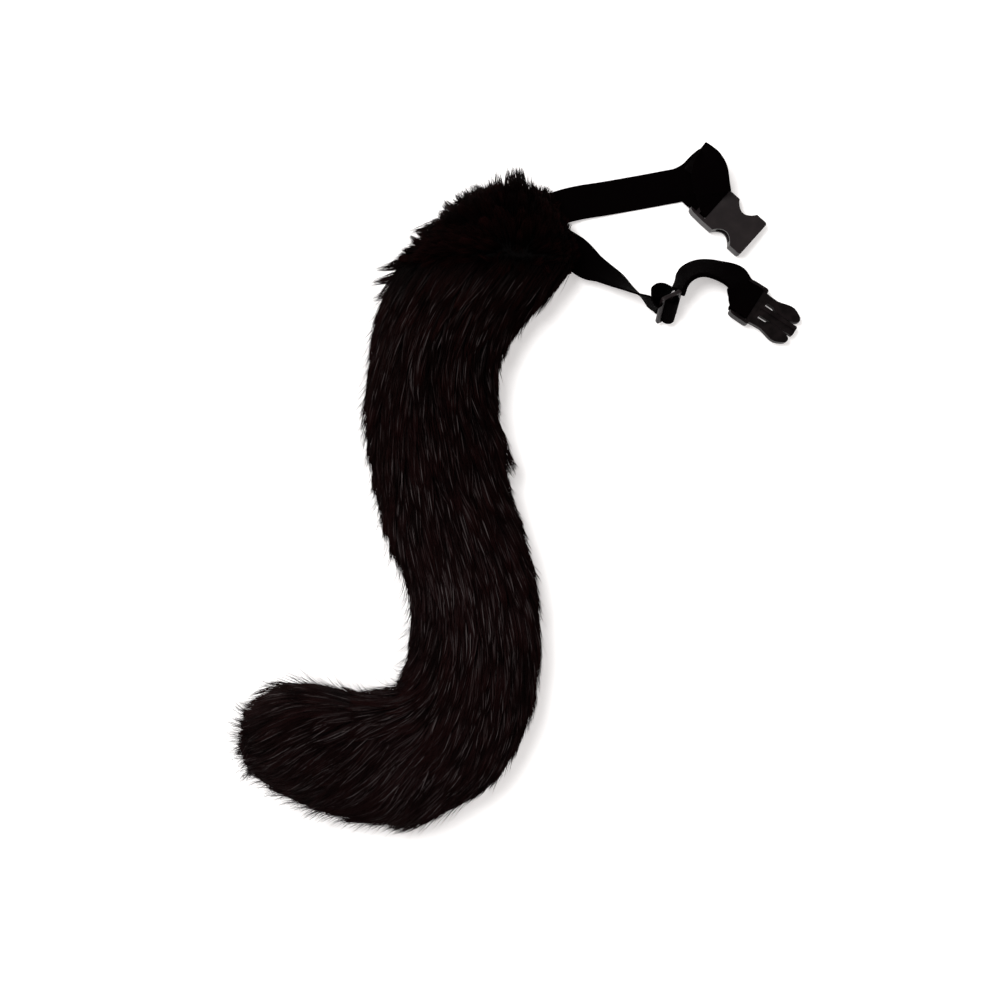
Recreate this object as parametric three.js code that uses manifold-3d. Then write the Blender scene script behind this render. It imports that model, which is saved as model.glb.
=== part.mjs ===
// A costume animal tail on a belt: a long stuffed fur tail that lies in a soft S, a fur cap at its
// root, and a flat webbing belt with a tri glide slider and a side release buckle.
// Millimetres, +Z up. X runs to the buckle's side, Y towards the root end of the tail.
import * as THREE from "three";
import { mergeVertices } from "three/addons/utils/BufferGeometryUtils.js";
import Module from "manifold-3d";

const wasm = await Module();
wasm.setup();

// Driving sizes of the fur tail
const tailLength = 600; // along the middle of the fur, root to tip
const furHeight = 72; // how high the lying tail stands
const pileDepth = 9; // from the stuffed core out to the tips of the pile
const lockLength = 48;
const lockWidth = 23;
const lockRows = 15;
const locksAcross = 6;
const tipShrink = 0.7; // how much shorter and slimmer the locks get over the last sections
const capLockLength = 22;
const capLockRows = 4;
const capLocksAcross = 7;

// Driving sizes of the belt and its hardware
const webbingWidth = 25;
const webbingThick = 1.5;
const beltReach = 100; // from the tail's root to the turn of the belt before the buckle
const clearance = 0.3;
const slotPlay = 0.5; // free play each side of the webbing in a slot
const sleeveWall = 1.2;
const sleeveDepth = 42;
const sleeveRoom = 10.5;

const buckle = { rail: 2.5, thick: 10.5, plate: 2, barSize: 3, barBack: 5, slotFront: 5.5 };
const socketLength = 50;
const plugBody = 16.6;
const plugReach = 32; // prongs and guide past the body
const slider = { bar: 2.8, slot: 4.4, end: 2.3, thick: 2.8 };

const black = { fur: 0x0b0807, cap: 0x070505, webbing: 0x0c0a0a, sleeve: 0x231013, plastic: 0x1d1b1c };

// Outline of the fur from above, one row for each section, as shares of tailLength. Left and
// right are the tips of the pile, height is a share of furHeight.
const capSections = [
  { leftX: -0.076, leftY: 0.046, rightX: -0.024, rightY: 0.045, height: 0.4 },
  { leftX: -0.116, leftY: 0.036, rightX: -0.008, rightY: 0.034, height: 0.64 },
  { leftX: -0.148, leftY: 0.016, rightX: 0.006, rightY: 0.012, height: 0.8 },
  { leftX: -0.175, leftY: -0.016, rightX: 0.017, rightY: -0.016, height: 0.88 },
  { leftX: -0.205, leftY: -0.046, rightX: 0.0165, rightY: -0.046, height: 0.93 },
];
const tailSections = [
  { leftX: -0.206, leftY: -0.046, rightX: 0.016, rightY: -0.046, height: 0.93 },
  { leftX: -0.222, leftY: -0.086, rightX: -0.015, rightY: -0.082, height: 1 },
  { leftX: -0.232, leftY: -0.125, rightX: -0.049, rightY: -0.122, height: 1 },
  { leftX: -0.237, leftY: -0.172, rightX: -0.0715, rightY: -0.163, height: 1 },
  { leftX: -0.239, leftY: -0.22, rightX: -0.076, rightY: -0.214, height: 1 },
  { leftX: -0.236, leftY: -0.268, rightX: -0.067, rightY: -0.262, height: 1 },
  { leftX: -0.227, leftY: -0.322, rightX: -0.058, rightY: -0.313, height: 1 },
  { leftX: -0.217, leftY: -0.37, rightX: -0.042, rightY: -0.362, height: 1 },
  { leftX: -0.201, leftY: -0.418, rightX: -0.031, rightY: -0.412, height: 1 },
  { leftX: -0.188, leftY: -0.462, rightX: -0.026, rightY: -0.462, height: 1 },
  { leftX: -0.183, leftY: -0.502, rightX: -0.026, rightY: -0.526, height: 1 },
  { leftX: -0.191, leftY: -0.538, rightX: -0.039, rightY: -0.61, height: 1 },
  { leftX: -0.213, leftY: -0.553, rightX: -0.081, rightY: -0.678, height: 1 },
  { leftX: -0.249, leftY: -0.553, rightX: -0.147, rightY: -0.709, height: 1 },
  { leftX: -0.285, leftY: -0.547, rightX: -0.213, rightY: -0.721, height: 0.98 },
  { leftX: -0.321, leftY: -0.545, rightX: -0.285, rightY: -0.712, height: 0.94 },
  { leftX: -0.354, leftY: -0.557, rightX: -0.336, rightY: -0.691, height: 0.84 },
  { leftX: -0.379, leftY: -0.578, rightX: -0.37, rightY: -0.664, height: 0.68 },
  { leftX: -0.391, leftY: -0.602, rightX: -0.387, rightY: -0.64, height: 0.5 },
];

// Tufts that stand out of the outline: where along the sections, at which side, how long and
// how far they flare, in shares of lockLength and lockWidth.
const tufts = [
  { along: 4.15, side: 4, length: 0.95, width: 1.5, flare: 0.42 },
  { along: 4.5, side: -6, length: 0.75, width: 1.3, flare: 0.34 },
  { along: 9.1, side: 176, length: 0.8, width: 0.8, flare: 0.4 },
  { along: 9.7, side: 170, length: 0.8, width: 0.8, flare: 0.4 },
  { along: 6.3, side: 178, length: 0.8, width: 0.8, flare: 0.3 },
];

// The cap's own tufts at its left steps, by place on the cap and heading in degrees.
const capTufts = [
  { along: 2.55, side: 172, heading: 182, length: 0.75 },
  { along: 3.4, side: 176, heading: 196, length: 1.05 },
  { along: 0.5, side: 60, heading: 88, length: 0.75 },
];

// The belt's middle line as shares of beltReach: height, then the compass heading of the edge
// that rises, and how steeply it rises, in degrees.
const foldRoute = [
  { x: -0.23, y: 0.1, z: 0.034, across: 97, rise: 0 },
  { x: -0.1, y: 0.14, z: 0.048, across: 98, rise: 0 },
  { x: 0.02, y: 0.18, z: 0.058, across: 99, rise: 0 },
  { x: 0.15, y: 0.212, z: 0.045, across: 100, rise: 0 },
  { x: 0.3, y: 0.238, z: 0.026, across: 100, rise: 0 },
  { x: 0.46, y: 0.267, z: 0.016, across: 99, rise: 0 },
  { x: 0.62, y: 0.296, z: 0.014, across: 99, rise: 0 },
  { x: 0.76, y: 0.322, z: 0.016, across: 100, rise: 0 },
  { x: 0.87, y: 0.345, z: 0.022, across: 102, rise: 0 },
  { x: 0.945, y: 0.385, z: 0.05, across: 108, rise: -7 },
  { x: 1.02, y: 0.437, z: 0.105, across: 115, rise: -12 },
  { x: 1.08, y: 0.487, z: 0.165, across: 124, rise: -8 },
  { x: 1.112, y: 0.498, z: 0.225, across: 129, rise: 0 },
  { x: 1.108, y: 0.478, z: 0.26, across: 137, rise: 8 },
  { x: 1.085, y: 0.425, z: 0.285, across: 146, rise: 6 },
  { x: 1.08, y: 0.345, z: 0.27, across: 162, rise: 5 },
  { x: 1.092, y: 0.268, z: 0.225, across: 186, rise: 6 },
  { x: 1.11, y: 0.2, z: 0.16, across: 212, rise: 7 },
];
const lowerRoute = [
  { x: -0.23, y: 0.085, z: 0.092, across: 270, rise: 0 },
  { x: -0.13, y: 0.01, z: 0.086, across: 260, rise: 0 },
  { x: -0.02, y: -0.085, z: 0.066, across: 252, rise: 0 },
  { x: 0.1, y: -0.16, z: 0.047, across: 243, rise: 2 },
  { x: 0.215, y: -0.264, z: 0.082, across: 236, rise: 26 },
  { x: 0.305, y: -0.312, z: 0.107, across: 235, rise: 44 },
  { x: 0.405, y: -0.371, z: 0.128, across: 233, rise: 56 },
  { x: 0.49, y: -0.43, z: 0.145, across: 234, rise: 72 },
  { x: 0.57, y: -0.482, z: 0.16, across: 236, rise: 84 },
  { x: 0.63, y: -0.527, z: 0.175, across: 62, rise: 82 },
];
const arcRoute = [
  { x: 0.885, y: -0.37, z: 0.205, across: 292, rise: 64 },
  { x: 0.95, y: -0.315, z: 0.185, across: 285, rise: 62 },
  { x: 1.03, y: -0.285, z: 0.16, across: 270, rise: 59 },
  { x: 1.13, y: -0.3, z: 0.135, across: 252, rise: 53 },
  { x: 1.24, y: -0.368, z: 0.122, across: 236, rise: 38 },
  { x: 1.272, y: -0.45, z: 0.118, across: 237, rise: 18 },
];

// Where the hardware lies, as shares of beltReach, with its heading, roll or lean in degrees.
// The slider stands on the ends of its bars, leaning back by lean and sideways by tip.
const socketPlace = { x: 1.022, y: 0.26, z: 0.077, heading: -42, roll: -7 };
const plugPlace = { x: 1.292, y: -0.48, z: 0.085, heading: -33, roll: -9 };
const sliderPlace = { x: 0.774, y: -0.567, z: 0.177, heading: 25.5, climb: -17.8, lean: 29.7, tip: 4.1 };
const sleeveHeading = 17;

// The belt's weave through the slider, across the bars, out of the frame and up along the bars,
// in millimetres of a slider 17.2 across: first the running stretch, then the end that holds the
// middle bar.
const runningWeave = [
  { across: -8.9, out: 3.1 },
  { across: -6.8, out: 2.8 },
  { across: -5.1, out: 2.3 },
  { across: -4.5, out: 0.8 },
  { across: -4.4, out: -1.4 },
  { across: -4, out: -3.8 },
  { across: -2.3, out: -5.8 },
  { across: 0, out: -6.4 },
  { across: 2.3, out: -5.8 },
  { across: 4, out: -3.8 },
  { across: 4.4, out: -1.4 },
  { across: 4.5, out: 0.8 },
  { across: 5.2, out: 2.4 },
  { across: 7, out: 3.2 },
  { across: 9.4, out: 4.1, up: 0.6 },
  { across: 12.8, out: 5.8, up: 3.6 },
];
const holdingWeave = [
  { across: 12.4, out: 8.8, up: 5 },
  { across: 8, out: 9.2, up: 3 },
  { across: 3.4, out: 10.4, up: 1.6 },
  { across: -2, out: 11.8, up: 0.6 },
  { across: -6.8, out: 11.6 },
  { across: -10.2, out: 9.8 },
  { across: -11.2, out: 7.6 },
  { across: -9.6, out: 5.7 },
  { across: -6.4, out: 5 },
  { across: -3.6, out: 3.7 },
  { across: -2.6, out: 1.4 },
  { across: -2.6, out: -0.9 },
  { across: -1.7, out: -2.6 },
  { across: 0, out: -3 },
  { across: 1.7, out: -2.6 },
  { across: 2.6, out: -0.9 },
  { across: 2.6, out: 1 },
  { across: 2.2, out: 2.4 },
];

const deg = Math.PI / 180;
const up = new THREE.Vector3(0, 0, 1);

function solidOf(geometry) {
  const bare = geometry.clone();
  bare.deleteAttribute("normal");
  bare.deleteAttribute("uv");
  const merged = mergeVertices(bare, 1e-4);
  const vertProperties = new Float32Array(merged.attributes.position.array);
  const triVerts = new Uint32Array(merged.index.array);
  return new wasm.Manifold(new wasm.Mesh({ numProp: 3, vertProperties, triVerts }));
}

function geometryOf(solid) {
  const mesh = solid.getMesh();
  const geometry = new THREE.BufferGeometry();
  geometry.setAttribute("position", new THREE.BufferAttribute(mesh.vertProperties, 3));
  geometry.setIndex(new THREE.BufferAttribute(mesh.triVerts, 1));
  geometry.computeVertexNormals();
  return geometry;
}

// The outermost skin of a solid: small pockets that locks close off between them are filled.
function outerSkin(geometry) {
  const faces = geometry.index.array;
  const leader = Array.from({ length: geometry.attributes.position.count }, (_, i) => i);
  const find = (i) => {
    let top = i;
    while (leader[top] !== top) {
      top = leader[top];
    }
    leader[i] = top;
    return top;
  };
  for (let i = 0; i < faces.length; i += 3) {
    leader[find(faces[i])] = find(faces[i + 1]);
    leader[find(faces[i + 1])] = find(faces[i + 2]);
  }
  const sizes = new Map();
  for (const corner of faces) {
    sizes.set(find(corner), (sizes.get(find(corner)) ?? 0) + 1);
  }
  const [largest] = [...sizes.entries()].reduce((best, entry) => (entry[1] > best[1] ? entry : best));
  const kept = [];
  for (let i = 0; i < faces.length; i += 3) {
    if (find(faces[i]) === largest) {
      kept.push(faces[i], faces[i + 1], faces[i + 2]);
    }
  }
  geometry.setIndex(kept);
  return geometry;
}

// A closed skin over a row of rings, each with the same number of points, with a fan at each end.
function skinOver(rings) {
  const count = rings[0].length;
  const points = rings.flat();
  const faces = [];
  for (let ring = 0; ring < rings.length - 1; ring += 1) {
    for (let i = 0; i < count; i += 1) {
      const next = (i + 1) % count;
      const a = ring * count + i;
      const b = ring * count + next;
      faces.push([a, b, b + count], [a, b + count, a + count]);
    }
  }
  for (const [ring, turn] of [[0, 1], [rings.length - 1, -1]]) {
    const middle = rings[ring].reduce((sum, p) => sum.add(p), new THREE.Vector3()).divideScalar(count);
    points.push(middle);
    for (let i = 0; i < count; i += 1) {
      const a = ring * count + i;
      const b = ring * count + ((i + 1) % count);
      faces.push(turn > 0 ? [points.length - 1, b, a] : [points.length - 1, a, b]);
    }
  }
  let volume = 0;
  for (const [a, b, c] of faces) {
    volume += points[a].dot(new THREE.Vector3().crossVectors(points[b], points[c]));
  }
  if (volume < 0) {
    faces.forEach((face) => face.reverse());
  }
  const geometry = new THREE.BufferGeometry();
  const places = points.flatMap((p) => [p.x, p.y, p.z]);
  geometry.setAttribute("position", new THREE.Float32BufferAttribute(places, 3));
  geometry.setIndex(faces.flat());
  geometry.computeVertexNormals();
  return geometry;
}

// A value of a table's column at any place between its rows, on a smooth curve.
function columnAt(rows, column, place) {
  const last = rows.length - 1;
  const at = Math.min(Math.max(place, 0), last);
  const row = Math.min(Math.floor(at), last - 1);
  const pick = (i) => rows[Math.min(Math.max(i, 0), last)][column];
  const t = at - row;
  const [p0, p1, p2, p3] = [pick(row - 1), pick(row), pick(row + 1), pick(row + 2)];
  const slope1 = (p2 - p0) / 2;
  const slope2 = (p3 - p1) / 2;
  const curve = (2 * p1 - 2 * p2 + slope1 + slope2) * t ** 3;
  return curve + (3 * p2 - 3 * p1 - 2 * slope1 - slope2) * t ** 2 + slope1 * t + p1;
}

// One section of the stuffed core: flat where it lies, round above.
function coreSection(rows, place) {
  const left = new THREE.Vector3(columnAt(rows, "leftX", place), columnAt(rows, "leftY", place), 0);
  const right = new THREE.Vector3(columnAt(rows, "rightX", place), columnAt(rows, "rightY", place), 0);
  left.multiplyScalar(tailLength);
  right.multiplyScalar(tailLength);
  const middle = left.clone().add(right).multiplyScalar(0.5);
  const half = right.clone().sub(left).multiplyScalar(0.5);
  const inset = Math.min(pileDepth, half.length() * 0.6);
  const height = columnAt(rows, "height", place) * furHeight - inset * 0.6;
  half.setLength(half.length() - inset);
  return { middle, half, height };
}

const bellyShare = 0.42; // the widest level of a section, as a share of its height

function corePoint(section, angle) {
  const lift = Math.sin(angle * deg);
  const swell = lift > 0 ? 1 - bellyShare : bellyShare + 0.1;
  const point = section.middle.clone().addScaledVector(section.half, Math.cos(angle * deg));
  point.z = Math.max(0, section.height * (bellyShare + swell * lift));
  return point;
}

const ringSides = 14;

function coreRings(rows, perRow) {
  const rings = [];
  const steps = (rows.length - 1) * perRow;
  for (let i = 0; i <= steps; i += 1) {
    const section = coreSection(rows, i / perRow);
    const ring = [];
    for (let side = 0; side < ringSides; side += 1) {
      ring.push(corePoint(section, (side * 360) / ringSides));
    }
    rings.push(ring);
  }
  return rings;
}

// A smaller ring past the last one, so that an end is rounded over.
function roundedEnd(ring, towards, reach, shrink) {
  const middle = ring.reduce((sum, p) => sum.add(p), new THREE.Vector3()).divideScalar(ring.length);
  return ring.map((p) => {
    const z = p.z * (0.25 + 0.75 * shrink);
    const q = middle.clone().lerp(p, shrink).addScaledVector(towards, reach);
    q.z = z;
    return q;
  });
}

// A steady spread of values from 0 to 1 that looks random.
function spread(seed) {
  const value = Math.sin(seed * 12.9898) * 43758.5453;
  return value - Math.floor(value);
}

const lockSides = 4;
const floorGap = 1.2; // locks stay this far above the surface the tail lies on

// One pointed lock of pile that starts in the core and lies along its surface.
function lockAt(root, flow, normal, length, width, flare) {
  const side = new THREE.Vector3().crossVectors(flow, normal).normalize();
  const ringsWanted = [
    { along: -0.08, out: -0.1, size: 0.42 },
    { along: 0.5, out: 0.6 * flare, size: 0.42 },
    { along: 1, out: flare, size: 0.04 },
  ];
  const rings = ringsWanted.map((want) => {
    const middle = root.clone().addScaledVector(flow, want.along * length);
    middle.addScaledVector(normal, want.out * length);
    const ring = [];
    for (let i = 0; i < lockSides; i += 1) {
      const turn = (i / lockSides) * 2 * Math.PI;
      const point = middle.clone().addScaledVector(side, Math.cos(turn) * want.size * width);
      point.addScaledVector(normal, Math.sin(turn) * want.size * width * 0.55);
      point.z = Math.max(point.z, floorGap + 0.1 * i + want.along);
      ring.push(point);
    }
    return ring;
  });
  return skinOver(rings);
}

function surfaceAt(rows, along, angle) {
  const step = 0.08;
  const here = corePoint(coreSection(rows, along), angle);
  const ahead = corePoint(coreSection(rows, along + step), angle);
  const behind = corePoint(coreSection(rows, along - step), angle);
  const aside = corePoint(coreSection(rows, along), angle + 4);
  const flow = ahead.sub(behind).normalize();
  const normal = new THREE.Vector3().crossVectors(aside.sub(here), flow).normalize();
  const outward = here.clone().sub(coreSection(rows, along).middle);
  if (normal.dot(outward) < 0) {
    normal.negate();
  }
  return { here, flow, normal };
}

const seamY = tailSections[0].leftY * tailLength;

// Everything on one side of the seam between the cap and the tail, to trim stray locks there.
function beyondSeam(fromY, toY) {
  const size = 2 * tailLength;
  const box = new THREE.BoxGeometry(size, toY - fromY, size);
  return solidOf(box.translate(0, (fromY + toY) / 2, 0));
}

function tailFur() {
  const rings = coreRings(tailSections, 2);
  const seam = rings[0];
  seam.forEach((p) => {
    p.y -= clearance;
  });
  const last = rings[rings.length - 1];
  const tipward = new THREE.Vector3(-1, -0.15, 0).normalize();
  rings.push(roundedEnd(last, tipward, pileDepth * 0.5, 0.55));
  let solid = solidOf(skinOver(rings));
  const end = tailSections.length - 1;
  for (let row = 0; row < lockRows; row += 1) {
    const along = 0.45 + (row / (lockRows - 1)) * (end - 0.75);
    const shrink = 1 - tipShrink * Math.max(0, (along - end + 5) / 5);
    for (let i = 0; i < locksAcross; i += 1) {
      const seed = row * 31 + i * 7 + 3;
      const stagger = row % 2 ? 0.5 : 0;
      const angle = -14 + ((i + stagger) / (locksAcross - 0.5)) * 208;
      const { here, flow, normal } = surfaceAt(tailSections, along + 0.25 * spread(seed), angle);
      const length = lockLength * shrink * (0.85 + 0.3 * spread(seed + 1));
      const width = lockWidth * shrink * (0.9 + 0.25 * spread(seed + 2));
      const smoother = angle < 45 ? 0.55 : 1;
      const flare = smoother * (0.14 + 0.07 * spread(seed + 4));
      solid = solid.add(solidOf(lockAt(here, flow, normal, length, width, flare)));
    }
  }
  for (const tuft of tufts) {
    const { here, flow, normal } = surfaceAt(tailSections, tuft.along, tuft.side);
    const length = lockLength * tuft.length;
    const lock = lockAt(here, flow, normal, length, lockWidth * tuft.width, tuft.flare);
    solid = solid.add(solidOf(lock));
  }
  solid = solid.subtract(beyondSeam(seamY - clearance, tailLength)).subtract(sleevePocket());
  return outerSkin(geometryOf(solid));
}

// The flat sleeve's envelope in the cap, grown by a margin, lying with its mouth at the root.
function sleeveEnvelope(across, room, back, front, rounding) {
  const outline = new THREE.Shape();
  const halfAcross = across / 2;
  const halfRoom = room / 2;
  const bend = Math.min(rounding, halfRoom * 0.9);
  outline.moveTo(-halfAcross + bend, -halfRoom);
  outline.lineTo(halfAcross - bend, -halfRoom);
  outline.quadraticCurveTo(halfAcross, -halfRoom, halfAcross, 0);
  outline.quadraticCurveTo(halfAcross, halfRoom, halfAcross - bend, halfRoom);
  outline.lineTo(-halfAcross + bend, halfRoom);
  outline.quadraticCurveTo(-halfAcross, halfRoom, -halfAcross, 0);
  outline.quadraticCurveTo(-halfAcross, -halfRoom, -halfAcross + bend, -halfRoom);
  const shape = { depth: front + back, bevelEnabled: false, curveSegments: 3 };
  const geometry = new THREE.ExtrudeGeometry(outline, shape);
  geometry.translate(0, 0, -back);
  geometry.rotateX(Math.PI / 2);
  geometry.rotateZ(Math.PI / 2);
  geometry.rotateZ(sleeveHeading * deg);
  return geometry;
}

const sleeveAcross = 2 * webbingWidth + 12;
const sleeveOuter = sleeveAcross + 2 * sleeveWall;
const sleeveHigh = sleeveRoom + 2 * sleeveWall;
const sleeveLift = sleeveHigh / 2 + clearance;

function placedEnvelope(across, room, back, front) {
  const geometry = sleeveEnvelope(across, room, back, front, sleeveRoom);
  geometry.translate(0, 0, sleeveLift);
  return solidOf(geometry);
}

function beltSleeve() {
  const outer = placedEnvelope(sleeveOuter, sleeveHigh, sleeveDepth, -2);
  const inner = placedEnvelope(sleeveAcross, sleeveRoom, sleeveDepth - sleeveWall, 4);
  return geometryOf(outer.subtract(inner));
}

// The room that the fur leaves for the sleeve and for the belt where it comes out of it.
function sleevePocket() {
  return placedEnvelope(
    sleeveOuter + 2 * clearance,
    sleeveHigh + 2 * clearance,
    sleeveDepth + clearance,
    4 * pileDepth,
  );
}

function baseFur() {
  const rings = coreRings(capSections, 2);
  const crown = rings[0];
  rings.unshift(roundedEnd(crown, new THREE.Vector3(-0.1, 1, 0).normalize(), pileDepth * 0.6, 0.6));
  let solid = solidOf(skinOver(rings));
  const uphill = new THREE.Vector3(-0.45, 0.89, 0);
  for (let row = 0; row < capLockRows; row += 1) {
    const along = 0.1 + (row / (capLockRows - 1)) * (capSections.length - 2.15);
    for (let i = 0; i < capLocksAcross; i += 1) {
      const seed = row * 17 + i * 5 + 40;
      const angle = 20 + ((i + (row % 2) * 0.5) / (capLocksAcross - 0.5)) * 150;
      const { here, normal } = surfaceAt(capSections, along, angle);
      const flow = uphill.clone().addScaledVector(up, 0.25);
      flow.addScaledVector(normal, -flow.dot(normal)).normalize();
      const length = capLockLength * (0.8 + 0.4 * spread(seed));
      const width = lockWidth * (0.7 + 0.2 * spread(seed + 1));
      solid = solid.add(solidOf(lockAt(here, flow, normal, length, width, 0.24)));
    }
  }
  for (const tuft of capTufts) {
    const { here, normal } = surfaceAt(capSections, tuft.along, tuft.side);
    const heading = tuft.heading * deg;
    const flow = new THREE.Vector3(Math.cos(heading), Math.sin(heading), 0.05).normalize();
    const lock = lockAt(here, flow, up, capLockLength * tuft.length, lockWidth, 0.06);
    solid = solid.add(solidOf(lock));
  }
  solid = solid.subtract(beyondSeam(-tailLength, seamY)).subtract(sleevePocket());
  return outerSkin(geometryOf(solid));
}

// Frames of the hardware, in which its own sizes and the belt's turns round it are worked out
function placeMatrix(place) {
  const turn = new THREE.Euler(place.roll * deg, 0, place.heading * deg, "ZYX");
  const matrix = new THREE.Matrix4().makeRotationFromEuler(turn);
  return matrix.setPosition(place.x * beltReach, place.y * beltReach, place.z * beltReach);
}

function sliderMatrix() {
  const climb = sliderPlace.climb * deg;
  const heading = sliderPlace.heading * deg;
  const across = new THREE.Vector3(
    Math.cos(heading) * Math.cos(climb),
    Math.sin(heading) * Math.cos(climb),
    Math.sin(climb),
  );
  const lean = Math.sin(sliderPlace.lean * deg);
  const tip = Math.sin(sliderPlace.tip * deg);
  const along = new THREE.Vector3(tip, lean, Math.cos(sliderPlace.lean * deg));
  along.addScaledVector(across, -along.dot(across)).normalize();
  const out = new THREE.Vector3().crossVectors(along, across);
  const matrix = new THREE.Matrix4().makeBasis(across, along, out.negate());
  const { x, y, z } = sliderPlace;
  return matrix.setPosition(x * beltReach, y * beltReach, z * beltReach);
}

const socketFrame = placeMatrix(socketPlace);
const plugFrame = placeMatrix(plugPlace);
const sliderFrame = sliderMatrix();

const slotWidth = webbingWidth + 2 * slotPlay;
const buckleWidth = slotWidth + 2 * buckle.rail;
const barPlace = buckle.barBack + buckle.barSize / 2;
const slotEnd = buckle.barBack + buckle.barSize + buckle.slotFront;
const wrapRadius = buckle.barSize * 0.75 + clearance + webbingThick / 2;

// The belt

function routeStation(row) {
  const middle = new THREE.Vector3(row.x, row.y, row.z).multiplyScalar(beltReach);
  const level = Math.cos(row.rise * deg);
  const edge = new THREE.Vector3(
    Math.cos(row.across * deg) * level,
    Math.sin(row.across * deg) * level,
    Math.sin(row.rise * deg),
  );
  return { middle, edge };
}

function frameStation(frame, point, edge) {
  return {
    middle: point.clone().applyMatrix4(frame),
    edge: edge.clone().transformDirection(frame),
  };
}

// The turn round a buckle's bar, from one angle to another in the plane of its travel.
function barTurn(frame, fromAngle, toAngle, steps) {
  const stations = [];
  for (let i = 0; i <= steps; i += 1) {
    const angle = (fromAngle + ((toAngle - fromAngle) * i) / steps) * deg;
    const x = barPlace + wrapRadius * Math.cos(angle);
    const point = new THREE.Vector3(x, 0, wrapRadius * Math.sin(angle));
    stations.push(frameStation(frame, point, new THREE.Vector3(0, -1, 0)));
  }
  return stations;
}

function bucklePoint(frame, x, y, z) {
  return frameStation(frame, new THREE.Vector3(x, y, z), new THREE.Vector3(0, -1, 0));
}

function weaveStations(rows) {
  const size = (slider.bar * 3 + slider.slot * 2) / 17.2;
  return rows.map((row) => {
    const point = new THREE.Vector3(row.across, row.up ?? 0, -row.out).multiplyScalar(size);
    return frameStation(sliderFrame, point, new THREE.Vector3(0, 1, 0));
  });
}

function shifted(stations, offset) {
  return stations.map((station, i) => {
    const before = stations[Math.max(i - 1, 0)].middle;
    const after = stations[Math.min(i + 1, stations.length - 1)].middle;
    const normal = new THREE.Vector3().crossVectors(after.clone().sub(before), station.edge).normalize();
    return { middle: station.middle.clone().addScaledVector(normal, offset), edge: station.edge };
  });
}

function turnedOver() {
  const start = routeStation(foldRoute[0]);
  const end = routeStation(lowerRoute[0]);
  const middle = start.middle.clone().lerp(end.middle, 0.5);
  middle.x -= (end.middle.z - start.middle.z) * 0.75 + webbingThick;
  const edge = start.edge.clone();
  return { middle, edge };
}

function belt() {
  const layer = (webbingThick + clearance) / 2 + 0.15;
  const fold = foldRoute.map(routeStation);
  const lower = lowerRoute.map(routeStation);
  const arc = arcRoute.map(routeStation);
  const outerArc = shifted(arc, -layer).reverse();
  const innerArc = shifted(arc, layer);
  const underSocket = [-8, -2].map((x) => bucklePoint(socketFrame, x, 0, -wrapRadius));
  const stretches = [
    underSocket,
    barTurn(socketFrame, -90, 28, 6),
    [bucklePoint(socketFrame, barPlace + wrapRadius * 0.75, 0.3, wrapRadius * 2)],
    fold.reverse(),
  ];
  const hidden = turnedOver();
  const upper = stretches.flat();
  const rest = [
    lower,
    weaveStations(runningWeave),
    innerArc,
    [bucklePoint(plugFrame, barPlace - 1.7 * wrapRadius, 0.2, -wrapRadius * 0.8)],
    barTurn(plugFrame, -90, 75, 7),
    [bucklePoint(plugFrame, barPlace - wrapRadius, 0.2, wrapRadius * 1.3)],
    outerArc,
    weaveStations(holdingWeave),
  ].flat();
  rest.forEach((station) => {
    station.edge = station.edge.clone().negate();
  });
  return ribbon([...upper, hidden, ...rest]);
}

function ribbon(stations) {
  const path = new THREE.CatmullRomCurve3(stations.map((s) => s.middle), false, "centripetal");
  const rings = [];
  const perStretch = 3;
  const last = stations.length - 1;
  for (let i = 0; i <= last * perStretch; i += 1) {
    const row = Math.min(Math.floor(i / perStretch), last - 1);
    const share = i / perStretch - row;
    const middle = path.getPoint(i / (last * perStretch));
    const travel = path.getTangent(i / (last * perStretch));
    const edge = stations[row].edge.clone().lerp(stations[row + 1].edge, share);
    edge.addScaledVector(travel, -edge.dot(travel) * 0.6).normalize();
    const normal = new THREE.Vector3().crossVectors(edge, travel).normalize();
    const corner = (side, face) => middle.clone()
      .addScaledVector(edge, side * webbingWidth / 2)
      .addScaledVector(normal, face * webbingThick / 2);
    rings.push([corner(-1, -1), corner(1, -1), corner(1, 1), corner(-1, 1)]);
  }
  return skinOver(rings);
}

// The hardware

function plate(outline, thick, soften) {
  const geometry = new THREE.ExtrudeGeometry(outline, {
    depth: thick - 2 * soften,
    bevelEnabled: true,
    bevelThickness: soften,
    bevelSize: soften,
    bevelOffset: -soften,
    bevelSegments: 1,
    curveSegments: 4,
  });
  return geometry.translate(0, 0, -thick / 2 + soften);
}

function boxSolid(fromX, toX, width, fromZ, toZ) {
  const geometry = new THREE.BoxGeometry(toX - fromX, width, toZ - fromZ);
  return solidOf(geometry.translate((fromX + toX) / 2, 0, (fromZ + toZ) / 2));
}

// An outline that is the same on both sides of the X axis, from its half above the axis.
function mirroredOutline(half) {
  const points = [...half, ...half.slice().reverse().map(([x, y]) => [x, -y])];
  return new THREE.Shape(points.map(([x, y]) => new THREE.Vector2(x, y)));
}

function slotAndBar(solid, thick) {
  const beyond = 1;
  const half = thick / 2 + beyond;
  const bar = buckle.barSize / 2;
  const cuts = [
    boxSolid(-beyond, buckle.barBack, slotWidth, -half, half),
    boxSolid(-beyond, slotEnd - 0.5, slotWidth, bar, half),
    boxSolid(-beyond, slotEnd - 0.5, slotWidth, -half, -bar),
    boxSolid(buckle.barBack + buckle.barSize, slotEnd, slotWidth, -half, half),
  ];
  return cuts.reduce((left, cut) => left.subtract(cut), solid);
}

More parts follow.
